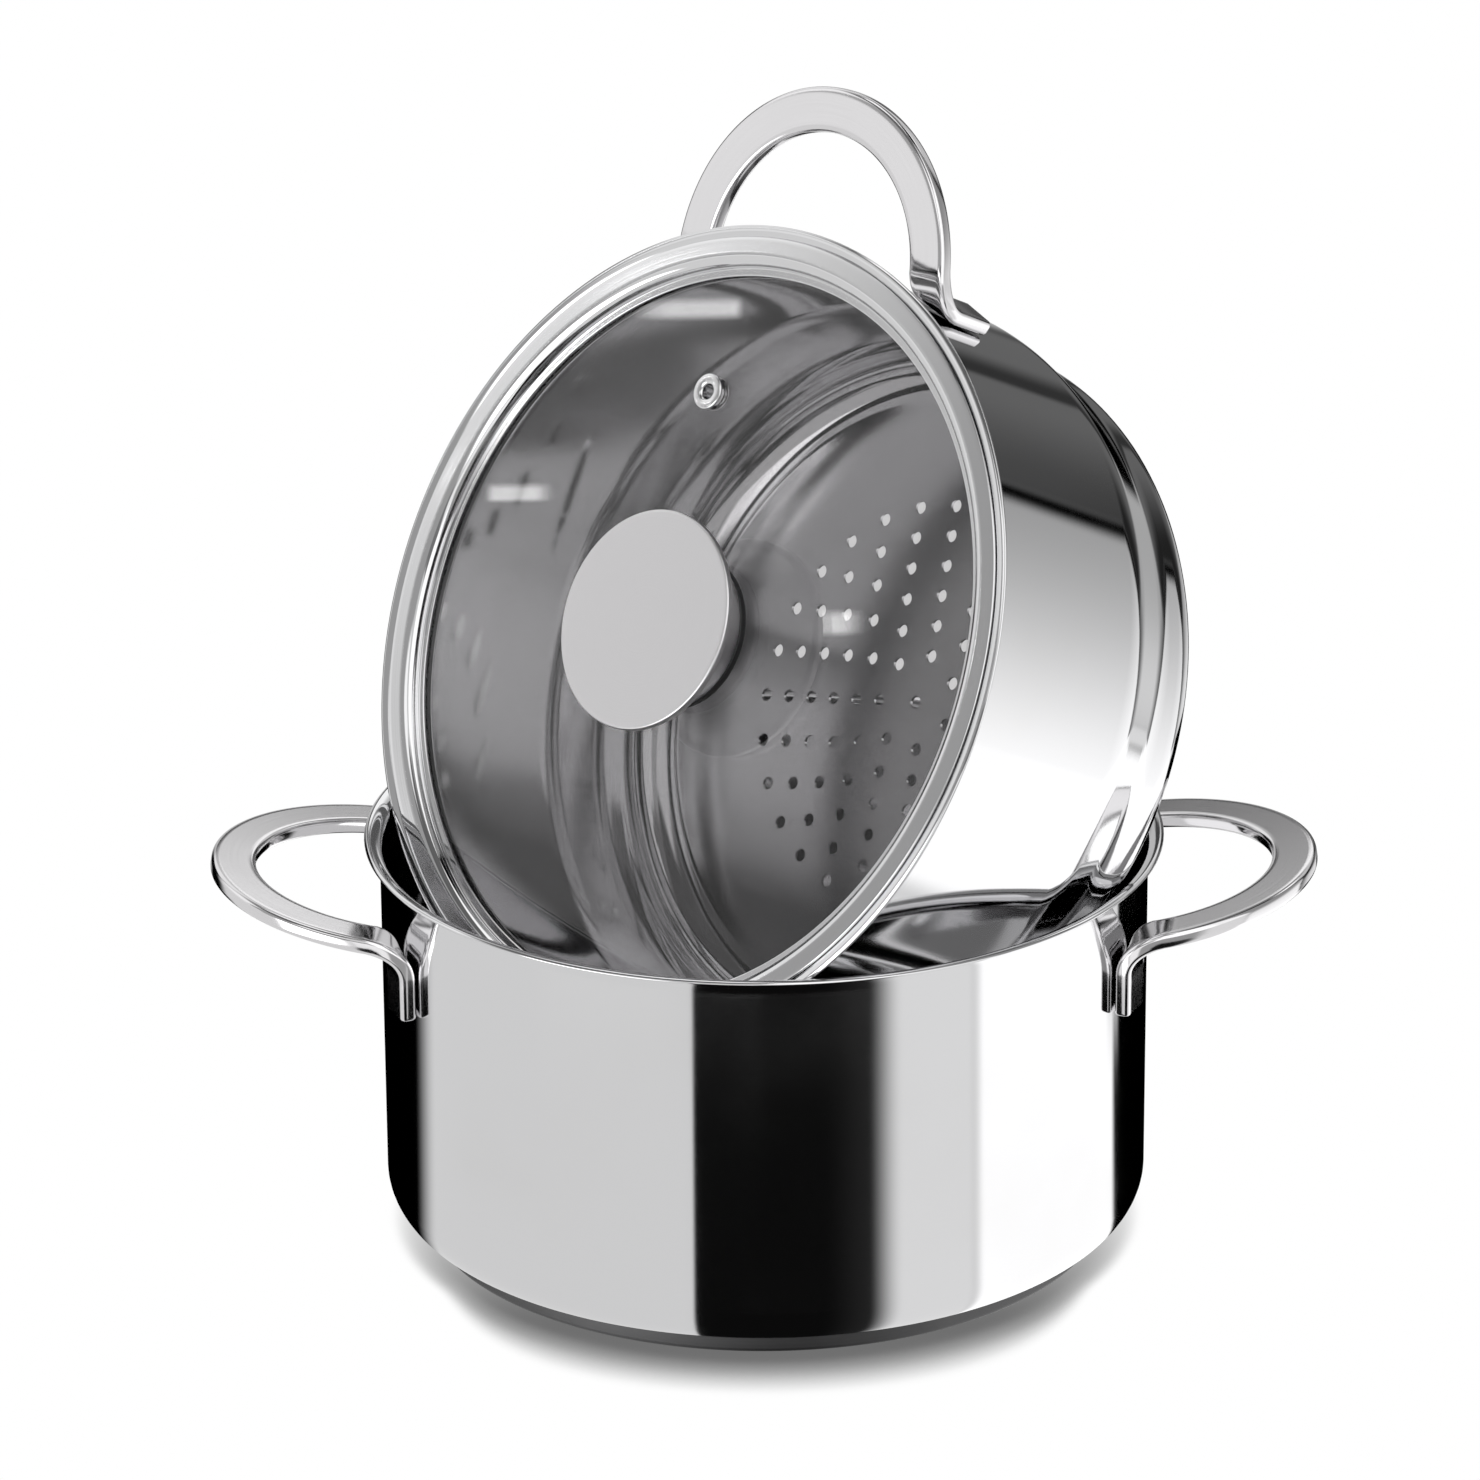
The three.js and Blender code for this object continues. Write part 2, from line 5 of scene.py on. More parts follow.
import bmesh
import bpy
from bpy.props import FloatProperty, FloatVectorProperty, IntProperty, PointerProperty
from mathutils import Matrix, Vector


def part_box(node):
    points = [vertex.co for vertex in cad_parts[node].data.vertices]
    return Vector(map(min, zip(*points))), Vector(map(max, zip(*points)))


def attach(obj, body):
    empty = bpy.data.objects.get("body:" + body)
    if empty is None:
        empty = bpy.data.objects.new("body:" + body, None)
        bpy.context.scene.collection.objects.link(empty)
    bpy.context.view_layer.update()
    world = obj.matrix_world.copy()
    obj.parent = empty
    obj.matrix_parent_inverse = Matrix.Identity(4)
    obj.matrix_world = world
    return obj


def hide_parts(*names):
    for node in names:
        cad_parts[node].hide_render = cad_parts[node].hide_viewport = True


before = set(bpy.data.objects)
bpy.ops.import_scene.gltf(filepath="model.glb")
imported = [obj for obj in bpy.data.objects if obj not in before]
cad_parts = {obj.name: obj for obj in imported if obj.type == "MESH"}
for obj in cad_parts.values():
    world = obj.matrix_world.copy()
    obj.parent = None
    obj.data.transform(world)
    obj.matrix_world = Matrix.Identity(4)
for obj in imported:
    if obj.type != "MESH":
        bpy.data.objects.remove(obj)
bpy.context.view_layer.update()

bl_info = {
    "name": "Pasta Pot",
    "version": (1, 0, 0),
    "blender": (4, 5, 0),
    "location": "View3D > Sidebar > Pasta Pot",
    "description": "Builds a pasta pot with a strainer basket and a glass lid round its solid model",
    "category": "Add Mesh",
}

MM = 0.001

# Sides of what is turned and steps along what is swept

SEGMENTS = 192
PANE_SEGMENTS = 160
KNOB_SEGMENTS = 128
CORE_SEGMENTS = 96
SMALL_SEGMENTS = 64
ROD_SEGMENTS = 48
HOLE_SEGMENTS = 20
SPHERE_RINGS = 24
TAB_STEPS = 5
BEND_STEPS = 20
LOOP_STEPS = 96
ARC_STEP = math.radians(7.5)
STRAP_ARC = math.radians(18)
CREASE = math.radians(38)

# Small roundings, shares of a thickness that round an edge, and lengths that shape the meshes

BROKEN = 0.2 * MM
EASED = 0.4 * MM
SOFT = 0.7 * MM
EDGE_SHARE = 0.49
FULL_SHARE = 0.499
TAB_END = 0.7
VENT_SHARE = 0.95
BEND_LEAD = 2 * MM
FLOOR_MARGIN = 3 * MM
LONG_RUN = 4 * MM
RUN_INSET = 1 * MM
RELIEF = 0.1 * MM
WELD = 1e-6
TINY = 1e-7

# The floor's gap under the base, where its painted shadow's reach changes and fades, and how open sky
# shades it

FLOOR_SEGMENTS = 96
FLOOR_GAP = 0.4 * MM
SHADOW_TURN = (-1.0, -0.5)
SHADOW_FADE = (-90 * MM, 20 * MM)
SHADOW_STOPS = ((0.3, 0.16), (0.55, 0.36), (0.75, 0.72), (0.9, 1.0))
SKY_SAMPLES = 24
PAPER = (0.9, 0.9, 0.9, 1)

# The camera's sensor in millimetres and how far it sees in metres

SENSOR_WIDTH = 36
CLIP_END = 60


def number(name, default, about, **options):
    return FloatProperty(name=name, description=about, default=default, **options)


def length(name, millimetres, about):
    return number(name, millimetres * MM, about, unit="LENGTH", precision=4)


def angle(name, degrees, about):
    return number(name, math.radians(degrees), about, subtype="ANGLE")


def share(name, value, about):
    return number(name, value, about, min=0, max=1, subtype="FACTOR")


def number_of(name, value, about):
    return IntProperty(name=name, description=about, default=value, min=1)


def point(name, metres, about):
    return FloatVectorProperty(name=name, description=about, default=metres, subtype="TRANSLATION")


def colour(name, rgb, about):
    return FloatVectorProperty(name=name, description=about, default=rgb, subtype="COLOR", min=0, max=1)


# Sizes and finishes


class PotSizes(bpy.types.PropertyGroup):
    """The lower vessel and its capped base."""

    radius: length("Radius", 120, "Outside of the pot's wall")
    height: length("Height", 130, "Underside of the base to the top of the lip")
    wall: length("Wall", 1, "Thickness of the steel")
    lip: length("Lip", 5, "How far the lip stands out past the wall")
    corner: length("Corner", 12, "Outside radius between wall and floor")
    underside: length("Underside", 6.3, "Height of the vessel's underside above the table")
    cap_height: length("Cap height", 6, "Height of the steel cap round the base disc")
    cap_sheet: length("Cap sheet", 0.6, "Thickness of that cap")
    cap_corner: length("Cap corner", 1.8, "Outside radius at the foot of the cap")


class StrapSizes(bpy.types.PropertyGroup):
    """The bent strap handles, alike on pot and basket."""

    width: length("Width", 14, "Width of the strap")
    thickness: length("Thickness", 5, "Thickness of the strap")
    edge: length("Edge", 1.6, "Radius of the strap's long edges")
    reach: length("Reach", 53, "Wall to the outer edge of the loop")
    loop: length("Loop", 49.5, "Radius of the loop at the middle of the strap")
    drop: length("Drop", 14.6, "Top of the lip down to the strap's top face")
    rise: angle("Rise", 8.5, "Climb of the loop towards its outer end")
    bend: length("Bend", 11, "Radius where the strap turns down onto the wall")
    tab: length("Tab", 13.5, "Length of the straight end on the wall")
    seat: length("Seat", 0.3, "Clearance between the tab and the wall")


class BasketSizes(bpy.types.PropertyGroup):
    """The strainer basket, measured down from its lip, and the way it leans."""

    radius: length("Radius", 121.5, "Outside of the basket's wall")
    wall: length("Wall", 1, "Thickness of the steel")
    lip: length("Lip", 6.5, "How far the lip stands out past the wall")
    shoulder_top: length("Shoulder top", 72.5, "Depth where the wall starts to draw in")
    shoulder_foot: length("Shoulder foot", 91.8, "Depth where the narrower spigot starts")
    shoulder_round: length("Shoulder rounding", 22, "Radius of the shoulder's two turns")
    spigot: length("Spigot", 115, "Outside radius of the part that fits in the pot")
    depth: length("Depth", 114.4, "Lip to the outside of the floor")
    corner: length("Corner", 15, "Outside radius between spigot and floor")
    hole: length("Hole", 4.2, "Diameter of a drain hole")
    rings: number_of("Rings", 6, "Rings of drain holes")
    first_ring: length("First ring", 15.5, "Radius of the innermost ring of holes")
    ring_pitch: length("Ring pitch", 9.7, "Distance from ring to ring")
    first_count: number_of("First count", 7, "Holes in the innermost ring")
    count_step: number_of("Count step", 4, "Holes added from ring to ring")
    hole_start: angle("Hole start", -84, "Angle of the first hole of each ring")
    lean: angle("Lean", 63.4, "Basket's axis from upright")
    heading: angle("Heading", 222.6, "Way the basket's mouth faces")
    twist: angle("Twist", 7, "Handles turned about the basket's axis")


class LidSizes(bpy.types.PropertyGroup):
    """The glass lid, with heights from the top of the basket's lip."""

    flange: length("Flange", 124, "Radius of the band's flange")
    flange_low: length("Flange underside", -0.64, "Height of the flange's underside")
    sheet: length("Sheet", 0.9, "Thickness of the band")
    skirt: length("Skirt", 115.8, "Outside radius of the band's skirt")
    cover: length("Cover", 2.5, "How far the band laps over the glass")
    crown: length("Crown", 3.6, "Radius where the flange turns down to the glass")
    recess: length("Recess", 4.9, "Top of the basket's lip down to the glass")
    glass: length("Glass", 4, "Thickness of the glass")
    seat: length("Seat", 0.3, "Clearance round the glass")
    vent_radius: length("Vent radius", 76.5, "Lid's axis to the steam vent")
    vent_turn: angle("Vent turn", 13, "Upper handle to the vent")
    vent_bore: length("Vent bore", 4.5, "Bore of the vent")
    vent_barrel: length("Vent barrel", 7.4, "Outside of the vent's barrel")
    vent_flange: length("Vent flange", 11.4, "Diameter of the vent's flange")
    vent_sheet: length("Vent sheet", 1.2, "Thickness of the vent's flange")


class KnobSizes(bpy.types.PropertyGroup):
    """The knob and what clamps it through the glass."""

    height: length("Height", 22.2, "Top of the knob above the glass")
    radius: length("Radius", 34.3, "Radius of the knob's disc")
    rim: length("Rim", 2.6, "Height of the disc's edge")
    sheet: length("Sheet", 1.2, "Thickness of the knob's shell")
    undercut: length("Undercut", 2.3, "Disc's edge past the top of the cone")
    foot_radius: length("Foot radius", 24, "Radius of the black foot")
    foot_height: length("Foot height", 2.8, "Height of the black foot")
    core_radius: length("Core radius", 17, "Radius of the core inside the shell")
    core_height: length("Core height", 9, "Height of the core above the foot")
    seal: length("Seal", 1.2, "Thickness of the silicone seals")
    seal_radius: length("Seal radius", 9, "Radius of the seal under the glass")
    washer_radius: length("Washer radius", 8, "Radius of the washer")
    washer: length("Washer", 1, "Thickness of the washer")
    insert_radius: length("Insert radius", 5, "Radius of the threaded insert")
    insert_height: length("Insert height", 8, "Height of the threaded insert")
    screw: length("Screw", 4, "Diameter of the screw")
    head_radius: length("Head radius", 5.5, "Radius of the screw's head")
    head_height: length("Head height", 2.6, "Height of the screw's head")
    slot_width: length("Slot width", 1.2, "Width of the screwdriver slot")
    slot_depth: length("Slot depth", 1.3, "Depth of the screwdriver slot")
    play: length("Play", 0.4, "Clearance round the screw")


class Finishes(bpy.types.PropertyGroup):
    """Colours and gloss."""

    steel: colour("Steel", (0.80, 0.80, 0.81), "Mirror-polished stainless steel")
    steel_warm: colour("Steel, worn", (0.76, 0.755, 0.755), "The same where hands have dulled it")
    satin: colour("Satin steel", (0.86, 0.85, 0.86), "Finely turned or brushed stainless steel")
    satin_dark: colour("Satin steel, lines", (0.77, 0.76, 0.77), "The fine lines in it")
    # The base cap's steel is set very dark, far darker than the pot's own steel.
    base: colour("Base steel", (0.10, 0.10, 0.102), "Steel of the base cap, dulled by heat")
    base_pale: colour("Base steel, rubbed", (0.17, 0.168, 0.168), "The same where it is rubbed")
    aluminium: colour("Aluminium", (0.70, 0.70, 0.71), "Pressed aluminium disc in the base")
    glass: colour("Glass", (0.62, 0.615, 0.62), "Tempered glass with a light grey tint")
    black: colour("Black moulding", (0.012, 0.012, 0.013), "Heat-resistant moulding")
    silicone: colour("Silicone", (0.022, 0.022, 0.024), "Silicone seals")
    mirror: share("Mirror roughness", 0.035, "Roughness of the polished steel")
    satin_roughness: share("Satin roughness", 0.24, "Roughness of the satin steel")
    floor_satin: share("Floor satin", 0.1, "Roughness added on the basket's floor")
    strap_roughness: share("Strap roughness", 0.072, "Roughness of the brushed straps")
    base_roughness: share("Base roughness", 0.4, "Roughness of the base cap and its disc")


class Studio(bpy.types.PropertyGroup):
    """Camera, floor, lamp and what the steel mirrors."""

    elevation: angle("Elevation", 21.28, "Camera's height above the horizon")
    roll: angle("Roll", -0.4, "Camera's roll")
    distance: length("Distance", 2273, "Camera to its target")
    target: point("Target", (-0.00724, 0, 0.15874), "Point looked at")
    lens: number("Lens", 177.81, "Focal length on a 36 mm sensor", unit="CAMERA")
    surround: length("Surround", 9000, "Radius of what the steel mirrors")
    lamp_at: point("Lamp at", (-0.3, -0.4, 1.6), "Where the overhead lamp hangs")
    lamp_aim: point("Lamp aim", (0, 0, 0.1), "Point that it shines on")
    lamp_size: length("Lamp size", 1400, "Diameter of the lamp")
    lamp_power: number("Lamp power", 14, "Power of the lamp", unit="POWER")
    floor_radius: length("Floor radius", 6000, "Radius of the white floor")
    shadow_reach: length("Shadow reach", 26, "How far the soft shadow spreads in front")
    shadow_sides: share("Shadow sides", 0.42, "Share of that reach at the sides and behind")
    shadow_back: share("Shadow behind", 0.3, "Strength of the shadow behind the pot")
    fill: share("Fill", 0.6, "Level of the light from all round")


class PastaPot(bpy.types.PropertyGroup):
    """Everything a user would change."""

    pot: PointerProperty(type=PotSizes)
    strap: PointerProperty(type=StrapSizes)
    basket: PointerProperty(type=BasketSizes)
    lid: PointerProperty(type=LidSizes)
    knob: PointerProperty(type=KnobSizes)
    finish: PointerProperty(type=Finishes)
    studio: PointerProperty(type=Studio)


def settings():
    return bpy.context.scene.pasta_pot


# Shader and geometry graphs: shares of two patterns in a steel's tint, and where and how they lie

TINT = (0.6, 0.3)
BASE_TINT = (0.7, 0.3)
SATIN_EDGE = (-6 * MM, 4 * MM)
BRUSH_STRETCH = (25, 2200, 1)


def arithmetic(operation, swapped=False):
    """A method of Wire that adds a maths node to its graph."""

    def method(self, other):
        values = (other, self) if swapped else (self, other)
        return self.graph.maths(operation, *values)

    return method


class Wire:
    """A node's output that takes part in Python arithmetic."""

    def __init__(self, graph, socket):
        self.graph = graph
        self.socket = socket

    __add__ = __radd__ = arithmetic("ADD")
    __sub__ = arithmetic("SUBTRACT")
    __rsub__ = arithmetic("SUBTRACT", swapped=True)
    __mul__ = __rmul__ = arithmetic("MULTIPLY")
    __truediv__ = arithmetic("DIVIDE")
    __pow__ = arithmetic("POWER")


class Graph:
    """Adds nodes to a tree and links them."""

    def __init__(self, tree):
        self.tree = tree
        tree.nodes.clear()

    def node(self, kind, sockets=None, out=0, **options):
        """Adds a node, sets its options and then its sockets, and returns the asked output."""
        made = self.tree.nodes.new(kind)
        for key, value in options.items():
            setattr(made, key, value)
        for key, value in (sockets or {}).items():
            if isinstance(value, Wire):
                self.tree.links.new(value.socket, made.inputs[key])
            else:
                made.inputs[key].default_value = value
        return Wire(self, made.outputs[out]) if len(made.outputs) else made

    def maths(self, operation, *values, clamped=False):
        sockets = dict(enumerate(values))
        return self.node("ShaderNodeMath", sockets, operation=operation, use_clamp=clamped)

    def point(self):
        """Object coordinates."""
        return self.node("ShaderNodeTexCoord", out="Object")

    def axes(self, vector):
        """X, Y and Z of a vector."""
        parts = self.node("ShaderNodeSeparateXYZ", {0: vector}).socket.node.outputs
        return [Wire(self, part) for part in parts]

    def ramp(self, value, low, high, start=0.0, end=1.0):
        """Smooth step from start to end while the value goes from low to high."""
        sockets = {"Value": value, "From Min": low, "From Max": high, "To Min": start, "To Max": end}
        return self.node("ShaderNodeMapRange", sockets, interpolation_type="SMOOTHSTEP")

    def stepped(self, value, stops):
        """Grey that goes through stops of value and shade."""
        made = self.node("ShaderNodeValToRGB", {0: value})
        elements = made.socket.node.color_ramp.elements
        while len(elements) < len(stops):
            elements.new(1)
        for element, (place, shade) in zip(elements, stops):
            element.position = place
            element.color = (shade, shade, shade, 1)
        return made

    def mix(self, factor, first, second):
        """Value between two values."""
        return self.node("ShaderNodeMix", {0: factor, 2: first, 3: second})

    def blend(self, factor, first, second):
        """Colour between two colours."""
        sockets = {0: factor, 6: (*first, 1), 7: (*second, 1)}
        return self.node("ShaderNodeMix", sockets, out=2, data_type="RGBA")


def coordinates(graph, place):
    """Object coordinates in a frame, the distance from its axis and the height along it."""
    sockets = {"Vector": graph.point(), "Location": place.translation, "Rotation": place.to_euler()}
    local = graph.node("ShaderNodeMapping", sockets, vector_type="TEXTURE")
    x, y, z = graph.axes(local)
    return local, (x * x + y * y) ** 0.5, z


def noise(graph, vector, scale, detail=3.0):
    return graph.node("ShaderNodeTexNoise", {"Vector": vector, "Scale": scale, "Detail": detail})


def lines(graph, along, scale):
    """Fine lines at an uneven pitch along one value."""
    sockets = {"W": along * scale, "Scale": 1.0, "Detail": 4.0, "Roughness": 0.7}
    return graph.node("ShaderNodeTexNoise", sockets, noise_dimensions="1D")


def new_finish(name):
    material = bpy.data.materials.new(name)
    material.use_nodes = True
    return material, Graph(material.node_tree), settings().finish


def surface(graph, sockets):
    shader = graph.node("ShaderNodeBsdfPrincipled", sockets)
    graph.node("ShaderNodeOutputMaterial", {"Surface": shader})


def raised(graph, tone, roughness, height, relief, metallic=1.0):
    """Surface with a relief, metal unless told otherwise."""
    normal = graph.node("ShaderNodeBump", {"Height": height, "Strength": relief, "Distance": RELIEF})
    surface(graph, {"Base Color": tone, "Metallic": metallic, "Roughness": roughness, "Normal": normal})


def polished_steel(name, place, satin_within=0.0):
    """Mirror steel with faint turning lines and patches dulled by handling, satin near its axis."""
    material, g, f = new_finish(name)
    local, radius, height = coordinates(g, place)
    turning = lines(g, radius + height, scale=1500)
    dulled = g.ramp(noise(g, local, scale=14), low=0.45, high=0.8)
    fine = noise(g, local, scale=260, detail=2)
    roughness = dulled * 0.035 + turning * 0.02 + fine * 0.01 + f.mirror
    if satin_within:
        low, high = (satin_within + step for step in SATIN_EDGE)
        roughness = roughness + g.ramp(radius, low, high, f.floor_satin, 0)
    tone = g.blend(dulled * TINT[0] + turning * TINT[1], f.steel, f.steel_warm)
    raised(g, tone, roughness, turning, relief=0.02)
    return material


def turned_satin(name, place):
    """Satin steel with fine turning lines round its axis."""
    material, g, f = new_finish(name)
    local, radius, height = coordinates(g, place)
    turning = lines(g, radius + height, scale=2600)
    patches = noise(g, local, scale=30)
    tone = g.blend(turning * TINT[0] + patches * TINT[1], f.satin, f.satin_dark)
    raised(g, tone, turning * 0.1 + patches * 0.06 + f.satin_roughness, turning, relief=0.06)
    return material


def brushed_strap(name):
    """Satin steel brushed along the strap, on the strap's own map of length by girth."""
    material, g, f = new_finish(name)
    flat = g.node("ShaderNodeUVMap", uv_map="strap")
    stretched = g.node("ShaderNodeMapping", {"Vector": flat, "Scale": BRUSH_STRETCH})
    brush = noise(g, stretched, scale=1.0, detail=4)
    patches = noise(g, g.point(), scale=45)
    tone = g.blend(brush * TINT[0] + patches * TINT[1], f.satin, f.satin_dark)
    raised(g, tone, brush * 0.04 + patches * 0.03 + f.strap_roughness, brush, relief=0.04)
    return material


def dark_dull_steel(name):
    """The base cap: turned steel set very dark and rough, rubbed paler in patches."""
    material, g, f = new_finish(name)
    local, radius, height = coordinates(g, Matrix())
    turning = lines(g, radius + height, scale=1200)
    rubbed = g.ramp(noise(g, local, scale=22, detail=5), low=0.5, high=0.75)
    tone = g.blend(rubbed * BASE_TINT[0] + turning * BASE_TINT[1], f.base, f.base_pale)
    raised(g, tone, turning * 0.12 + rubbed * 0.08 + f.base_roughness, turning, relief=0.1)
    return material


def grained(name, shade, contrast, roughness, spread, scale, relief, metallic=0.0):
    """Pressed aluminium, black moulding or silicone with a fine grain."""
    material, g, _ = new_finish(name)
    grain = noise(g, g.point(), scale, detail=4)
    tone = g.blend(grain, shade, tuple(c * contrast for c in shade))
    raised(g, tone, grain * spread + roughness, grain, relief, metallic)
    return material


def tempered_glass(name, place):
    """Lightly tinted glass with a faint film of handling."""
    material, g, f = new_finish(name)
    local, _, _ = coordinates(g, place)
    film = g.ramp(noise(g, local, scale=18, detail=4), low=0.5, high=0.8)
    tone = g.blend(film, f.glass, tuple(c * 0.95 for c in f.glass))
    surface(g, {"Base Color": tone, "Roughness": film * 0.02, "IOR": 1.5, "Transmission Weight": 1.0})
    return material


# Shapes


def rounded(corners, closed=False, step=ARC_STEP):
    """Outline through corners (radius, height, rounding), with points near both ends of long runs."""
    points = []
    count = len(corners)
    for i, (x, y, rounding) in enumerate(corners):
        corner = Vector((x, y))
        if rounding <= 0 or (not closed and i in (0, count - 1)):
            points.append(corner)
            continue
        back = (Vector(corners[i - 1][:2]) - corner).normalized()
        onward = (Vector(corners[(i + 1) % count][:2]) - corner).normalized()
        half = back.angle(onward) / 2
        centre = corner + (back + onward).normalized() * rounding / math.sin(half)
        start = corner + back * rounding / math.tan(half) - centre
        end = corner + onward * rounding / math.tan(half) - centre
        sweep = math.atan2(start.x * end.y - start.y * end.x, start.dot(end))
        steps = max(2, math.ceil(abs(sweep) / step))
        for k in range(steps + 1):
            points.append(centre + Matrix.Rotation(sweep * k / steps, 2) @ start)
    outline = []
    ends = points + points[:1] if closed else points
    for a, b in zip(ends, ends[1:]):
        run = (b - a).length
        if run < TINY:
            continue
        outline.append(a)
        if run > LONG_RUN:
            inset = (b - a) * (RUN_INSET / run)
            outline += [a + inset, b - inset]
    if not closed:
        outline.append(points[-1])
    return outline


def revolved(outline, segments, closed=False):
    """Vertices and faces of an outline turned about Z, up its outer side and down its inner side."""
    vertices, faces, rings = [], [], []
    for r, z in outline:
        first = len(vertices)
        if r < TINY:
            rings.append([first] * segments)
            vertices.append((0, 0, z))
            continue
        rings.append(range(first, first + segments))
        for k in range(segments):
            turn = 2 * math.pi * k / segments
            vertices.append((r * math.cos(turn), r * math.sin(turn), z))
    pairs = list(zip(rings, rings[1:]))
    if closed:
        pairs.append((rings[-1], rings[0]))
    for low, high in pairs:
        for k in range(segments):
            n = (k + 1) % segments
            face = list(dict.fromkeys((low[k], low[n], high[n], high[k])))
            if len(face) > 2:
                faces.append(face)
    return vertices, faces


def to_mesh(name, vertices, faces):
    mesh = bpy.data.meshes.new(name)
    mesh.from_pydata([tuple(v) for v in vertices], [], faces)
    if mesh.validate():
        raise RuntimeError(f"{name} has faces that can't be drawn")
    return mesh


def turned(name, outline, segments, closed=False):
    return to_mesh(name, *revolved(outline, segments, closed))


def new_object(name, data):
    made = bpy.data.objects.new(name, data)
    bpy.context.scene.collection.objects.link(made)
    return made


def evaluated(name, mesh, add_modifiers):
    """The mesh that an object's modifiers give, as a plain mesh."""
    holder = new_object(name + "_holder", mesh)
    add_modifiers(holder)
    graph = bpy.context.evaluated_depsgraph_get()
    result = bpy.data.meshes.new_from_object(holder.evaluated_get(graph))
    holder.modifiers.clear()
    bpy.data.objects.remove(holder)
    result.name = name
    if not result.polygons:
        raise RuntimeError(f"{name} came out empty")
    return result


def cut(mesh, cutter):
    """A mesh with another one's space taken out of it."""
    tool = new_object("cutter", cutter)

    def add(holder):
        modifier = holder.modifiers.new("cut", "BOOLEAN")
        modifier.solver = "EXACT"
        modifier.object = tool

    result = evaluated(mesh.name, mesh, add)
    bpy.data.objects.remove(tool)
    return result


def rod(radius, low, high):
    corners = ((0, low), (radius, low), (radius, high), (0, high))
    return turned("rod", [Vector(corner) for corner in corners], ROD_SEGMENTS)


def add_piece(name, mesh, place, material, body, slot, *nodes):
    """Puts a mesh in its place, smooths it, ties it to its body and hides the nodes it stands for."""
    mesh.transform(place)
    mesh.materials.clear()
    mesh.materials.append(material)
    mesh.shade_smooth()
    mesh.set_sharp_from_angle(angle=CREASE)
    piece = new_object(name, mesh)
    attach(piece, body)
    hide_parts(*nodes)


def add_turned(name, corners, place, material, body, slot, node, closed=False, segments=SEGMENTS):
    """Adds a piece turned from the corners of its outline."""
    mesh = turned(name, rounded(corners, closed), segments, closed)
    add_piece(name, mesh, place, material, body, slot, node)


def dress_node(node, material):
    """Gives a solid that shows as it is its finish."""
    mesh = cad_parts[node].data
    mesh.materials.clear()
    mesh.materials.append(material)


def mouth(radius, wall, lip, top):
    """Corners of a wall that curls out into a lip rolled a little over its edge, and back inside."""
    roll = 1.0 * MM
    flat = 0.6 * MM
    crest = 1.4 * MM
    fall = math.radians(35)
    reach = radius + lip
    flare = lip + wall / 2 - flat
    edge = wall * EDGE_SHARE
    drop = roll * math.tan(fall)
    back = Vector((math.sin(fall), math.cos(fall))) * wall
    return [
        (radius, top - wall, flare - wall),
        (reach - roll - wall * math.tan(fall / 2), top - wall, EASED),
        (reach - back.x, top - drop - back.y, edge), (reach, top - drop, edge),
        (reach - roll, top, crest), (radius - wall, top, flare),
    ]


def basket_place():
    """Frame of the basket: the solid washer on its axis gives the point, the lean gives the turn."""
    s = settings()
    b, lid, knob = s.basket, s.lid, s.knob
    leaning = Matrix.Rotation(b.heading, 3, "Z") @ Matrix.Rotation(b.lean, 3, "Y")
    turn = leaning @ Matrix.Rotation(b.twist, 3, "Z")
    depth = lid.recess + lid.glass + 2 * lid.seat + knob.seal + knob.washer / 2
    low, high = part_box("knob_washer")
    centre = (low + high) / 2 + turn @ Vector((0, 0, depth))
    return Matrix.Translation(centre) @ turn.to_4x4()


def lid_place():
    return basket_place() @ Matrix.Rotation(settings().lid.vent_turn, 4, "Z")


# Strap handles


def strap_section(strap):
    """Points round the strap, across by up, with a point near both ends of each flat."""
    across = strap.width / 2
    up = strap.thickness / 2
    corners = [(across, up), (-across, up), (-across, -up), (across, -up)]
    return rounded([(x, y, strap.edge) for x, y in corners], closed=True, step=STRAP_ARC)


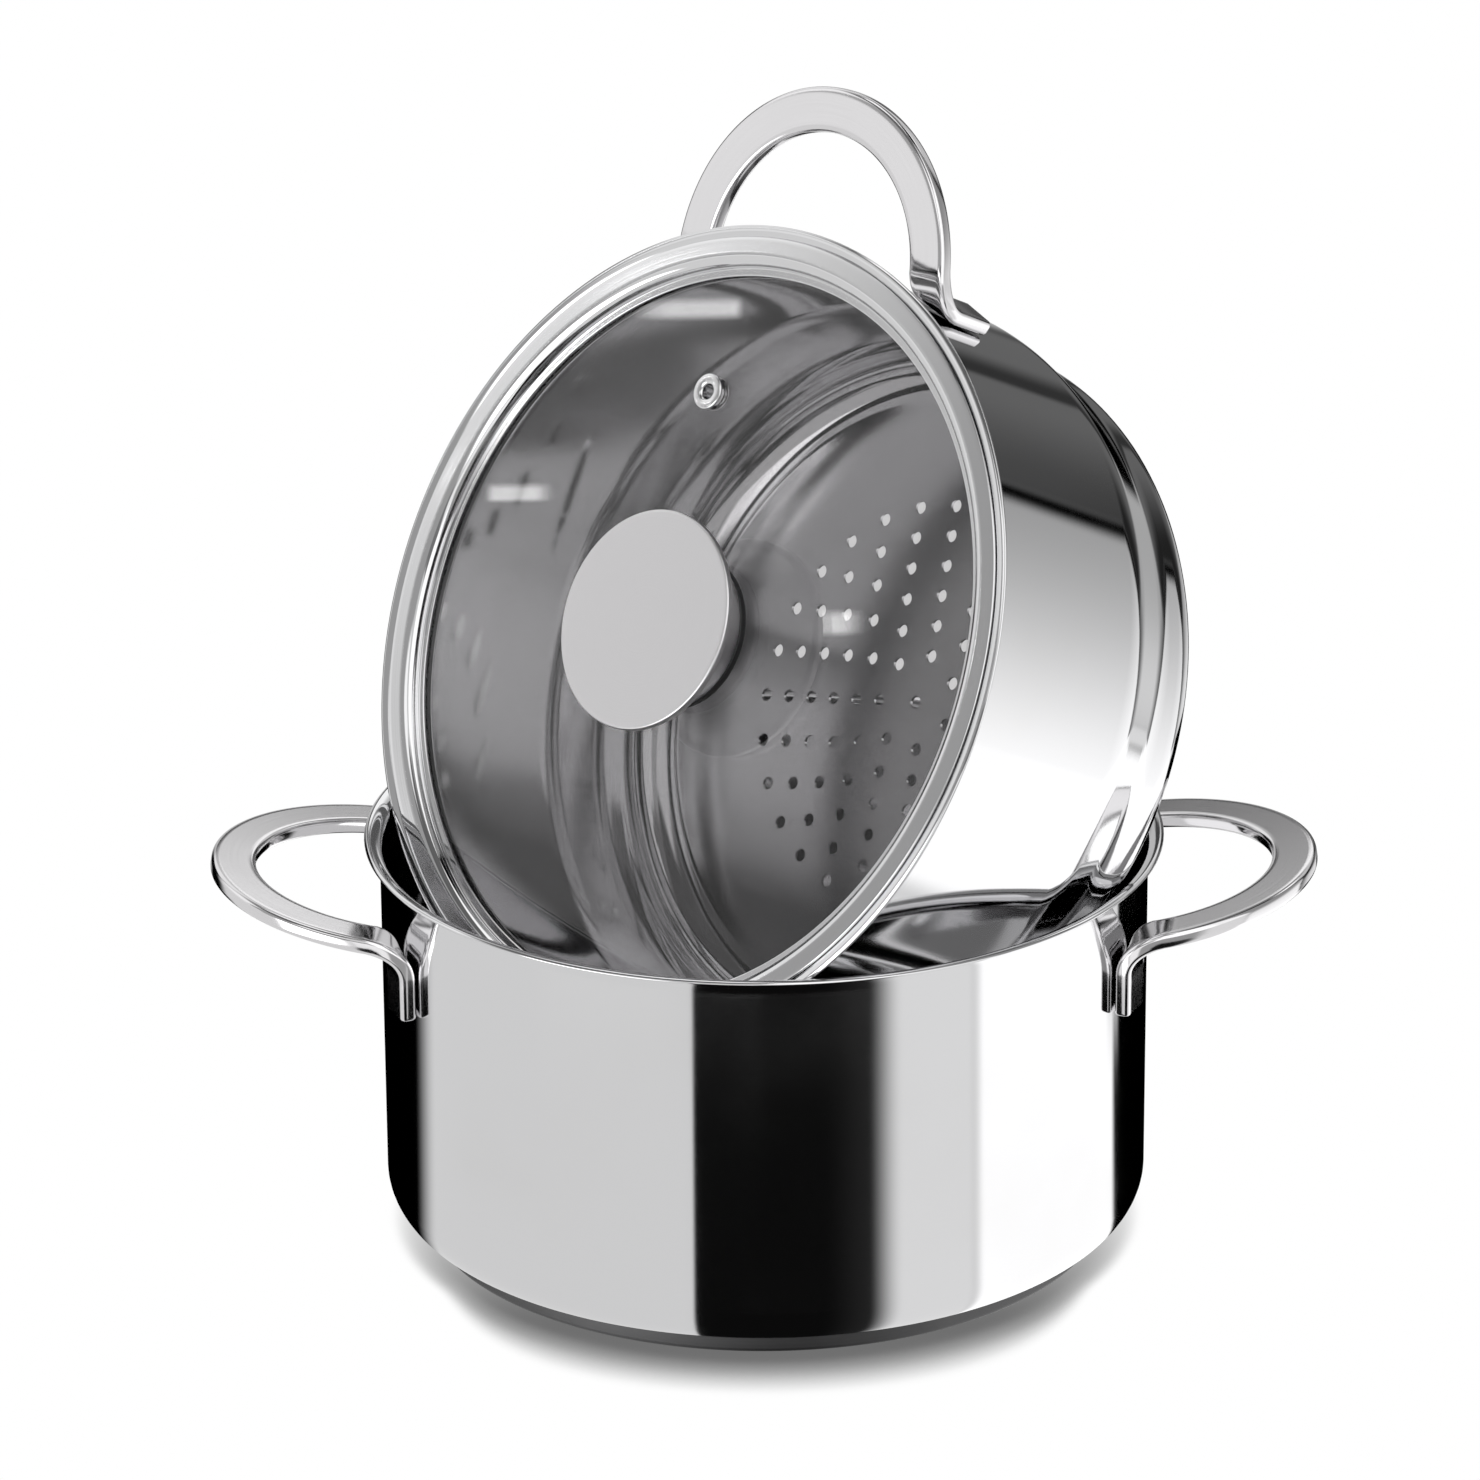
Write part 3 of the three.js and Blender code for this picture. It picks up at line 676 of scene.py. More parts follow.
def strap_stations(strap, wall_radius):
    """Point, across and up of the strap from its tab, round the bend and the loop to the other tab."""
    rise = strap.rise
    centre = wall_radius + strap.reach - strap.width / 2 - strap.loop
    tab_radius = wall_radius + strap.seat + strap.thickness / 2
    advance = strap.bend * (1 - math.sin(rise))
    span = math.hypot(strap.loop, advance)
    opening = math.acos((tab_radius**2 - centre**2 - span**2) / (2 * centre * span))
    end = opening - math.atan2(advance, strap.loop)
    start = Vector((centre + strap.loop * math.cos(end), strap.loop * math.sin(end)))
    inward = Vector((-math.sin(end), math.cos(end)))
    tab = start + inward * advance
    tab_turn = math.atan2(tab.y, tab.x) + math.pi / 2

    def plan(turn, z=0.0):
        return Vector((math.cos(turn), math.sin(turn), z))

    stations = []

    def add(at, tangent, across, inset=0.0):
        up = tangent.cross(across).normalized()
        stations.append((at, up.cross(tangent).normalized(), up, inset))

    upright = Vector((0, 0, 1))
    tab_top = -strap.bend * math.cos(rise)
    rim = strap.edge * TAB_END
    for k in range(TAB_STEPS + 1):
        turn = math.pi / 2 * k / TAB_STEPS
        inset = rim * (1 - math.sin(turn))
        z = tab_top - strap.tab + rim * (1 - math.cos(turn))
        add(Vector((tab.x, tab.y, z)), upright, plan(tab_turn), inset)
    add(Vector((tab.x, tab.y, tab_top - BEND_LEAD)), upright, plan(tab_turn))
    for k in range(BEND_STEPS, 0, -1):
        share_done = k / BEND_STEPS
        slope = rise + (math.pi / 2 - rise) * share_done
        along = strap.bend * (math.sin(slope) - math.sin(rise))
        fall = strap.bend * (math.cos(rise) - math.cos(slope))
        flat = start + inward * along
        tangent = Vector((*(-inward * math.cos(slope)), math.sin(slope)))
        eased = share_done * share_done * (3 - 2 * share_done)
        add(Vector((*flat, -fall)), tangent, plan(end + (tab_turn - end) * eased))
    climb = math.tan(rise)
    for k in range(LOOP_STEPS + 1):
        turn = end * (1 - 2 * k / LOOP_STEPS)
        x = centre + strap.loop * math.cos(turn)
        at = Vector((x, strap.loop * math.sin(turn), (x - start.x) * climb))
        tangent = Vector((math.sin(turn), -math.cos(turn), math.sin(turn) * climb)).normalized()
        add(at, tangent, plan(turn, math.cos(turn) * climb))
    flip = Matrix.Diagonal((1, -1, 1))
    first = stations[: len(stations) - LOOP_STEPS - 1]
    for at, across, up, inset in reversed(first):
        stations.append((flip @ at, flip @ across, flip @ up, inset))
    return stations


def strap_mesh(name, strap, wall_radius):
    """The strap swept along its stations, with a map of length by girth."""
    section = strap_section(strap)
    stations = strap_stations(strap, wall_radius)
    count = len(section)
    vertices, faces, lengths = [], [], [0.0]
    for (at, _, _, _), (last, _, _, _) in zip(stations[1:], stations):
        lengths.append(lengths[-1] + (at - last).length)
    for at, across, up, inset in stations:
        kx = 1 - 2 * inset / strap.width
        ky = 1 - 2 * inset / strap.thickness
        vertices += [at + across * (p.x * kx) + up * (p.y * ky) for p in section]
    girth = [0.0]
    for k in range(count):
        girth.append(girth[-1] + (section[(k + 1) % count] - section[k]).length)
    maps = []
    for ring in range(len(stations) - 1):
        for k in range(count):
            n = (k + 1) % count
            a, b = ring * count, (ring + 1) * count
            faces.append((a + k, a + n, b + n, b + k))
            u, v = lengths[ring : ring + 2], girth[k : k + 2]
            maps += [(u[0], v[0]), (u[0], v[1]), (u[1], v[1]), (u[1], v[0])]
    last = (len(stations) - 1) * count
    faces.append(tuple(reversed(range(count))))
    faces.append(tuple(range(last, last + count)))
    maps += [(0.0, p.x) for p in reversed(section)] + [(lengths[-1], p.x) for p in section]
    mesh = to_mesh(name, vertices, faces)
    layer = mesh.uv_layers.new(name="strap")
    for loop, pair in zip(layer.data, maps):
        loop.uv = pair
    return mesh


# Drain holes


def perforated_floor(values):
    """Node group that closes a shell's open floor with a plate full of drain holes."""
    tree = bpy.data.node_groups.new("drain_holes", "GeometryNodeTree")
    face = tree.interface
    face.new_socket("Geometry", in_out="INPUT", socket_type="NodeSocketGeometry")
    kinds = {float: "NodeSocketFloat", int: "NodeSocketInt", bpy.types.Material: "NodeSocketMaterial"}
    for name, value in values.items():
        face.new_socket(name, in_out="INPUT", socket_type=kinds[type(value)])
    face.new_socket("Geometry", in_out="OUTPUT", socket_type="NodeSocketGeometry")
    g = Graph(tree)
    shell = g.node("NodeGroupInput")
    given = {s.name: Wire(g, s) for s in shell.socket.node.outputs if s.name}

    rings, first, step = given["Rings"], given["First Count"], given["Count Step"]
    total = rings * first + step * rings * (rings - 1) * 0.5
    index = g.node("GeometryNodeInputIndex")
    lead = first - step * 0.5
    ring = g.maths("FLOOR", ((lead * lead + step * index * 2) ** 0.5 - lead) / step)
    place = index - (ring * first + step * ring * (ring - 1) * 0.5)
    turn = given["Start"] + place * (2 * math.pi) / (first + step * ring)
    reach = given["First Ring"] + given["Ring Pitch"] * ring
    x, y = reach * g.maths("COSINE", turn), reach * g.maths("SINE", turn)
    spot = g.node("ShaderNodeCombineXYZ", {"X": x, "Y": y})
    spots = g.node("GeometryNodePoints", {"Count": total, "Position": spot})
    middle = g.node("GeometryNodePoints", {"Count": 1})

    def joined(*parts):
        node = g.tree.nodes.new("GeometryNodeJoinGeometry")
        for part in reversed(parts):
            g.tree.links.new(part.socket, node.inputs[0])
        return Wire(g, node.outputs[0])

    def moved(geometry, by):
        return g.node("GeometryNodeTransform", {"Geometry": geometry, "Translation": by})

    circle = g.node("GeometryNodeMeshCircle", {"Vertices": HOLE_SEGMENTS, "Radius": given["Hole Radius"]})
    stamps = {"Points": joined(middle, spots), "Instance": circle}
    holes = g.node("GeometryNodeRealizeInstances", {0: g.node("GeometryNodeInstanceOnPoints", stamps)})
    edge = g.node("GeometryNodeMeshCircle", {"Vertices": SEGMENTS, "Radius": given["Floor Radius"]})
    outlines = g.node("GeometryNodeMeshToCurve", {0: joined(edge, holes)})
    plate = g.node("GeometryNodeFillCurve", {"Curve": outlines})
    up = g.node("ShaderNodeCombineXYZ", {"Z": given["Wall"]})
    level = g.node("ShaderNodeCombineXYZ", {"Z": given["Floor Level"]})
    bores = g.node("GeometryNodeExtrudeMesh", {"Mesh": holes, "Offset": up}, mode="EDGES")
    floor = moved(joined(plate, moved(plate, up), bores), level)
    whole = {"Geometry": joined(given["Geometry"], floor), "Distance": WELD}
    real = g.node("GeometryNodeRealizeInstances", {0: g.node("GeometryNodeMergeByDistance", whole)})
    dressed = g.node("GeometryNodeSetMaterial", {"Geometry": real, "Material": given["Finish"]})
    g.node("NodeGroupOutput", {0: dressed})
    return tree


# Cards round the object, each laid over those before it: left, right, foot and head edge, and level.
# An edge is an angle in degrees and its softness. Turns go from the camera to the right, climbs from the
# horizon up. A level that changes upwards gives its foot, its head and the levels there.

CARDS = (
    ("backdrop, right half", (172, 4), None, None, None, 0.55),
    ("backdrop, left half", None, (-158, 6), None, None, 0.55),
    ("left softbox", (-128, 7), (-21.1, 0.7), None, None, 0.75),
    ("left softbox, upper half", (-128, 7), (-21.1, 0.7), (8, 4), None, 0.84),
    ("left softbox, top", (-128, 7), (-90, 3), (20, 3), None, 1.02),
    ("left screen", (-95, 2.8), (-21.1, 0.7), (10, 5), None, 0.38),
    ("left strip", (-100, 2), (-82, 2), (9, 1.5), (15.3, 0.7), 0.88),
    ("left lamp", (-69, 3), (-28, 5), None, (13, 5), 2.2),
    ("left lamp, core", (-69, 3), (-46, 6), None, (13, 5), 2.8),
    ("left ceiling", (-62, 6), (-21.1, 0.7), (39, 3), None, 1.15),
    ("left overhead, back", (-128, 7), (-64, 6), (46, 4), None, 0.13),
    ("left overhead, front", (-128, 7), (-21.1, 3), (57, 3), None, 0.14),
    ("front wall, left", (-21.1, 0.7), (0, 3), None, None, 1.0),
    ("front wall, left top", (-21.1, 0.7), (0, 3), (30, 2), None, 0.7),
    ("front wall, right", (-1, 3), (42, 6), None, None, 0.35),
    ("front wall, right top", (-1, 3), (48, 6), (6.5, 2.5), None, 1.32),
    ("front screen", (-36, 4), (-1, 2), (17, 1.5), (29, 2), 0.2),
    ("front overhead", (-25, 4), (14, 5), (63, 4), None, 0.3),
    ("grey card", (38, 6), (68.5, 3.5), None, (10, 5), 0.82),
    ("grey card, upper half", (45, 6), (68.5, 3.5), (10, 5), None, 1.1),
    ("white card", (68.5, 3.5), (119, 1.5), None, None, (-32, 26, 1.33, 0.3)),
    ("white card, far end", (125, 10), (156, 2), None, (-2, 3), (-19, -6, 0.84, 0.42)),
    ("dim corner", (122.5, 1.3), (172, 6), (-2, 3), (18.5, 1.5), 0.14),
    ("dim corner, near end", (122.5, 1.3), (137, 10), (-2, 3), (18.5, 1.5), (12, 17, 0.017, 0.075)),
    ("dim corner, dark seam", (150.6, 1.0), (156, 3), (-2, 3), (18.5, 1.5), 0.035),
    ("behind, right", (126, 4), None, (19.2, 1.8), (48, 10), 0.6),
    ("behind, right top", (126, 4), (154, 4), (39, 3), (51, 4), 1.2),
    ("behind, middle", (160, 8), None, (19.2, 1.8), (34, 6), 1.1),
    ("behind, middle top", (150, 8), None, (34, 6), (70, 6), 0.22),
    ("behind, left", None, (-134, 4), (19.2, 1.8), (48, 10), 0.6),
    ("behind, far left", (-172, 3), (-134, 4), (19.2, 1.8), (48, 10), 0.9),
    ("behind, shade, right half", (174, 2), None, (17, 1), (22.7, 0.7), 0.1),
    ("behind, shade, left half", None, (-168, 4), (17, 1), (23.1, 0.7), 0.06),
    ("overhead, left back", (-172, 5), (-126, 5), (57, 3), None, 1.2),
)

# Low cards follow the columns that the pot's wall and its corner mirror, below one head edge for all.

LOW_HEAD = (-20.6, 0.4)
LOW_CARDS = (
    ("left softbox, foot", (-122, 6.5), (-21.1, 0.7), None, None, 0.75),
    ("black flag", (-21.1, 0.7), (36, 6), None, None, 0.004),
    ("black flag, pale end", (25, 9), (36, 6), None, None, 0.02),
    ("grey card, foot", (35.5, 5.5), (64.7, 3), None, None, 0.84),
    ("white card, foot", (64.7, 3), (126.8, 1.5), None, None, 1.27),
    ("white card, far corner", (123, 2), (130.3, 1), (-22.8, 0.6), None, 0.84),
)

# Small windows hang askew and glint in the lid: their edges are taken along and across their slant.

WINDOW_SLANT = math.radians(38)
WINDOWS = (
    ("left window", (-64.76, 0.06), (-64.22, 0.12), (73.55, 0.03), (73.69, 0.05), 6.0),
    ("upper window", (-63.25, 0.3), (-62.3, 0.05), (75.34, 0.05), (75.5, 0.06), 6.0),
    ("right window", (-61.68, 0.12), (-61.08, 0.16), (72.13, 0.05), (72.33, 0.06), 6.0),
)

# Operators


class PASTAPOT_OT_stage(bpy.types.Operator):
    """Makes the camera, the floor, the lamp and what the polished steel mirrors"""

    bl_idname = "pasta_pot.stage"
    bl_label = "Studio"

    def execute(self, context):
        studio = settings().studio
        scene = context.scene
        scene.view_settings.view_transform = "Standard"
        self.camera(scene, studio)
        self.world(scene, studio)
        self.floor(studio)
        self.surround(studio)
        self.lamp(studio)
        return {"FINISHED"}

    def camera(self, scene, studio):
        back = Vector((0, -math.cos(studio.elevation), math.sin(studio.elevation)))
        right = Vector((1, 0, 0))
        over = back.cross(right)
        c, s = math.cos(studio.roll), math.sin(studio.roll)
        axes = Matrix((right * c + over * s, over * c - right * s, back)).transposed()
        camera = bpy.data.cameras.new("camera")
        camera.lens = studio.lens
        camera.sensor_width = SENSOR_WIDTH
        camera.clip_end = CLIP_END
        holder = new_object("camera", camera)
        eye = Vector(studio.target) + back * studio.distance
        holder.matrix_world = Matrix.Translation(eye) @ axes.to_4x4()
        scene.camera = holder

    def lamp(self, studio):
        lamp = bpy.data.lights.new("overhead_softbox", "AREA")
        lamp.shape = "DISK"
        lamp.size = studio.lamp_size
        lamp.energy = studio.lamp_power
        holder = new_object("overhead_softbox", lamp)
        holder.location = studio.lamp_at
        aim = Vector(studio.lamp_aim) - holder.location
        holder.rotation_euler = aim.to_track_quat("-Z", "Y").to_euler()
        holder.visible_glossy = False
        holder.visible_transmission = False

    def seen(self, graph):
        """One for rays that look at the background: straight on, in a mirror or through glass."""
        path = graph.node("ShaderNodeLightPath").socket.node
        rays = ("Is Camera Ray", "Is Glossy Ray", "Is Transmission Ray")
        straight, mirrored, through = (Wire(graph, path.outputs[ray]) for ray in rays)
        return graph.maths("ADD", straight + mirrored, through, clamped=True)

    def world(self, scene, studio):
        scene.world = bpy.data.worlds.new("studio")
        scene.world.use_nodes = True
        g = Graph(scene.world.node_tree)
        level = self.seen(g) * (1 - studio.fill) + studio.fill
        light = g.node("ShaderNodeBackground", {"Color": level, "Strength": 1.0})
        g.node("ShaderNodeOutputWorld", {"Surface": light})

    def floor(self, studio):
        """White floor whose painted shadow gathers close round the base."""
        outline = [Vector((r, -FLOOR_GAP)) for r in (studio.floor_radius, 0)]
        mesh = turned("floor", outline, FLOOR_SEGMENTS)
        material, g, _ = new_finish("white_floor")
        local, radius, _ = coordinates(g, Matrix())
        _, spot, _ = g.axes(local)
        sides = studio.shadow_reach * studio.shadow_sides
        reach = g.ramp(spot / radius, *SHADOW_TURN, studio.shadow_reach, sides)
        open_sky = g.node("ShaderNodeAmbientOcclusion", {"Distance": reach}, out="AO", samples=SKY_SAMPLES)
        dark = 1 - g.stepped(open_sky, SHADOW_STOPS)
        # The shadow is painted into the white that the floor gives off, strongest in front of the pot and
        # faint behind it.
        forward = g.ramp(spot, *SHADOW_FADE, 1.0, studio.shadow_back)
        white = g.node("ShaderNodeEmission", {"Color": 1 - dark * forward, "Strength": 1.0})
        paper = g.node("ShaderNodeBsdfDiffuse", {"Color": PAPER})
        mixed = g.node("ShaderNodeMixShader", {0: self.seen(g), 1: paper, 2: white})
        g.node("ShaderNodeOutputMaterial", {"Surface": mixed})
        mesh.materials.append(material)
        floor = new_object("floor", mesh)
        floor.visible_glossy = False

    def card(self, graph, turn, climb, edges):
        """One inside four edges, each an angle and its softness, or nothing where there is no edge."""
        inside = None
        for value, edge, before in zip((turn, turn, climb, climb), edges, (0, 1, 0, 1)):
            if edge:
                at, softness = edge
                part = graph.ramp(value, at - softness, at + softness, before, 1 - before)
                inside = inside * part if inside else part
        return inside

    def lay(self, graph, cards, turn, climb, light):
        """Cards laid one over another, over a light that is there already."""
        for _, *edges, level in cards:
            if isinstance(level, tuple):
                level = graph.ramp(climb, *level)
            light = graph.mix(self.card(graph, turn, climb, edges), light, level)
        return light

    def surround(self, studio):
        """Softboxes and black flags all round, seen only in the steel and the glass."""
        reach = studio.surround
        turns = [math.pi * k / SPHERE_RINGS for k in range(SPHERE_RINGS + 1)]
        outline = [Vector((reach * math.sin(turn), -reach * math.cos(turn))) for turn in turns]
        outline[0].x = outline[-1].x = 0.0
        mesh = turned("surround", outline, SMALL_SEGMENTS)
        material, g, _ = new_finish("softboxes_and_flags")
        x, y, z = g.axes(g.point())
        degrees = math.degrees(1)
        turn = g.maths("ARCTAN2", x, y * -1.0) * degrees
        depth = math.cos(studio.elevation) * reach - y
        column = g.maths("ARCTAN2", x, depth) * (2 * degrees)
        climb = g.maths("ARCSINE", z / reach) * degrees
        below = self.card(g, turn, climb, (None, None, None, LOW_HEAD))
        high = self.lay(g, CARDS, turn, climb, 0.0)
        low = self.lay(g, LOW_CARDS, column, climb, 0.0)
        c, s = math.cos(WINDOW_SLANT), math.sin(WINDOW_SLANT)
        light = self.lay(g, WINDOWS, turn * c + climb * s, climb * c - turn * s, g.mix(below, high, low))
        shader = g.node("ShaderNodeEmission", {"Color": light, "Strength": 1.0})
        g.node("ShaderNodeOutputMaterial", {"Surface": shader})
        mesh.materials.append(material)
        cards = new_object("surround", mesh)
        cards.visible_camera = False
        cards.visible_diffuse = False
        cards.visible_shadow = False


class PASTAPOT_OT_pot(bpy.types.Operator):
    """Makes the pot's vessel and its capped base"""

    bl_idname = "pasta_pot.pot"
    bl_label = "Pot"

    def execute(self, context):
        s = settings()
        p = s.pot
        vessel = [
            (0, p.underside, 0), (p.radius, p.underside, p.corner),
            *mouth(p.radius, p.wall, p.lip, p.height),
            (p.radius - p.wall, p.underside + p.wall, p.corner - p.wall),
            (0, p.underside + p.wall, 0),
        ]
        steel = polished_steel("pot_steel", Matrix())
        add_turned("pot_vessel", vessel, Matrix(), steel, "pot", "polished_steel", "pot_body")
        foot = p.radius - p.corner
        edge = p.cap_sheet * EDGE_SHARE
        cap = [
            (0, 0, 0), (foot, 0, p.cap_corner),
            (foot, p.cap_height, edge), (foot - p.cap_sheet, p.cap_height, edge),
            (foot - p.cap_sheet, p.cap_sheet, p.cap_corner - p.cap_sheet), (0, p.cap_sheet, 0),
        ]
        dulled = dark_dull_steel("base_steel")
        add_turned("pot_base_sheet", cap, Matrix(), dulled, "pot", "polished_steel", "pot_base_cap")
        shade, rough = tuple(s.finish.aluminium), s.finish.base_roughness
        grain = {"contrast": 0.82, "spread": 0.2, "scale": 700, "relief": 0.15, "metallic": 1.0}
        dress_node("pot_base_core", grained("base_aluminium", shade, roughness=rough, **grain))
        return {"FINISHED"}


class PASTAPOT_OT_handles(bpy.types.Operator):
    """Makes the four bent strap handles"""

    bl_idname = "pasta_pot.handles"
    bl_label = "Handles"

    def execute(self, context):
        s = settings()
        below = s.strap.drop + s.strap.thickness / 2
        satin = brushed_strap("strap_steel")
        pot = Matrix.Translation((0, 0, s.pot.height - below))
        basket = basket_place() @ Matrix.Translation((0, 0, -below))
        about = Matrix.Rotation(math.pi, 4, "Z")
        for name, node, body, radius, place in (
            ("strap_pot_left", "pot_handle_left", "pot", s.pot.radius, pot @ about),
            ("strap_pot_right", "pot_handle_right", "pot", s.pot.radius, pot),
            ("strap_basket_upper", "basket_handle_upper", "basket", s.basket.radius, basket @ about),
            ("strap_basket_lower", "basket_handle_lower", "basket", s.basket.radius, basket),
        ):
            add_piece(name, strap_mesh(name, s.strap, radius), place, satin, body, "satin_steel", node)
        return {"FINISHED"}


class PASTAPOT_OT_basket(bpy.types.Operator):
    """Makes the strainer basket with its drain holes"""

    bl_idname = "pasta_pot.basket"
    bl_label = "Basket"

    def execute(self, context):
        b = settings().basket
        floor = b.spigot - b.corner - FLOOR_MARGIN
        outline = rounded([
            (floor, -b.depth, 0), (b.spigot, -b.depth, b.corner),
            (b.spigot, -b.shoulder_foot, b.shoulder_round),
            (b.radius, -b.shoulder_top, b.shoulder_round),
            *mouth(b.radius, b.wall, b.lip, 0),
            (b.radius - b.wall, -b.shoulder_top, b.shoulder_round),
            (b.spigot - b.wall, -b.shoulder_foot, b.shoulder_round),
            (b.spigot - b.wall, b.wall - b.depth, b.corner - b.wall), (floor, b.wall - b.depth, 0),
        ])
        place = basket_place()
        steel = polished_steel("basket_steel", place, b.spigot - b.corner)
        values = {
            "Hole Radius": b.hole / 2,
            "First Ring": b.first_ring,
            "Ring Pitch": b.ring_pitch,
            "Start": b.hole_start,
            "Floor Radius": floor,
            "Floor Level": -b.depth,
            "Wall": b.wall,
            "Rings": b.rings,
            "First Count": b.first_count,
            "Count Step": b.count_step,
            "Finish": steel,
        }
        tree = perforated_floor(values)

        def add(holder):
            modifier = holder.modifiers.new("drain_holes", "NODES")
            modifier.node_group = tree
            for item in tree.interface.items_tree:
                if item.in_out == "INPUT" and item.name in values:
                    modifier[item.identifier] = values[item.name]

        mesh = evaluated("strainer_basket", turned("strainer_basket", outline, SEGMENTS), add)
        shell = bmesh.new()
        shell.from_mesh(mesh)
        bmesh.ops.recalc_face_normals(shell, faces=shell.faces)
        open_edges = [e for e in shell.edges if not e.is_manifold]
        shell.to_mesh(mesh)
        shell.free()
        if open_edges:
            raise RuntimeError(f"the basket has {len(open_edges)} open edges")
        add_piece("strainer_basket", mesh, place, steel, "basket", "polished_steel", "basket_body")
        return {"FINISHED"}


class PASTAPOT_OT_lid(bpy.types.Operator):
    """Makes the lid's steel band, its glass and its steam vent"""

    bl_idname = "pasta_pot.lid"
    bl_label = "Lid"

    def execute(self, context):
        lid, knob = settings().lid, settings().knob
        place = lid_place()
        steel = polished_steel("lid_steel", place)
        channel = lid.skirt - lid.sheet
        shown = channel - lid.cover
        edge = lid.sheet * FULL_SHARE
        top, under = -lid.recess, -lid.recess - lid.glass
        upper, lower = top + lid.seat, under - lid.seat
        flange_top = lid.flange_low + lid.sheet
        band = [
            (shown, lower - lid.sheet, edge), (lid.skirt, lower - lid.sheet, lid.sheet),
            (lid.skirt, lid.flange_low, lid.crown - lid.sheet), (lid.flange, lid.flange_low, edge),
            (lid.flange, flange_top, edge), (channel, flange_top, lid.crown),
            (channel, upper + lid.sheet, EASED), (shown, upper + lid.sheet, edge),
            (shown, upper, edge), (channel, upper, BROKEN),
            (channel, lower, BROKEN), (shown, lower, edge),
        ]
        add_turned("lid_ring", band, place, steel, "lid", "polished_steel", "lid_band", closed=True)

        outer = channel - lid.seat
        bore = knob.screw / 2 + knob.play
        pane_edge = 0.8 * MM
        pane = rounded([
            (bore, under, BROKEN), (outer, under, pane_edge),
            (outer, top, pane_edge), (bore, top, BROKEN),
        ], closed=True)
        hole = rod(lid.vent_barrel / 2 + lid.seat, under - MM, top + MM)
        vent = Matrix.Translation((-lid.vent_radius, 0, 0))
        half_side = Matrix.Rotation(math.pi / ROD_SEGMENTS, 4, "Z")
        hole.transform(vent @ half_side)
        glass = tempered_glass("lid_glass", place)
        mesh = cut(turned("lid_pane", pane, PANE_SEGMENTS, True), hole)
        add_piece("lid_pane", mesh, place, glass, "lid", "glass", "lid_glass")

        edge = lid.vent_sheet * FULL_SHARE
        bend = 0.3 * MM
        barrel, flange, vent_bore = lid.vent_barrel / 2, lid.vent_flange / 2, lid.vent_bore / 2
        eyelet = [
            (vent_bore, lower - lid.vent_sheet, bend), (flange, lower - lid.vent_sheet, edge),
            (flange, lower, edge), (barrel, lower, bend),
            (barrel, upper, bend), (flange, upper, edge),
            (flange, upper + lid.vent_sheet, edge),
            (vent_bore, upper + lid.vent_sheet, lid.vent_sheet * VENT_SHARE),
        ]
        spot = place @ vent
        steel = polished_steel("vent_steel", spot)
        row = ("lid", "polished_steel", "lid_vent_eyelet")
        add_turned("vent_ring", eyelet, spot, steel, *row, closed=True, segments=SMALL_SEGMENTS)
        return {"FINISHED"}


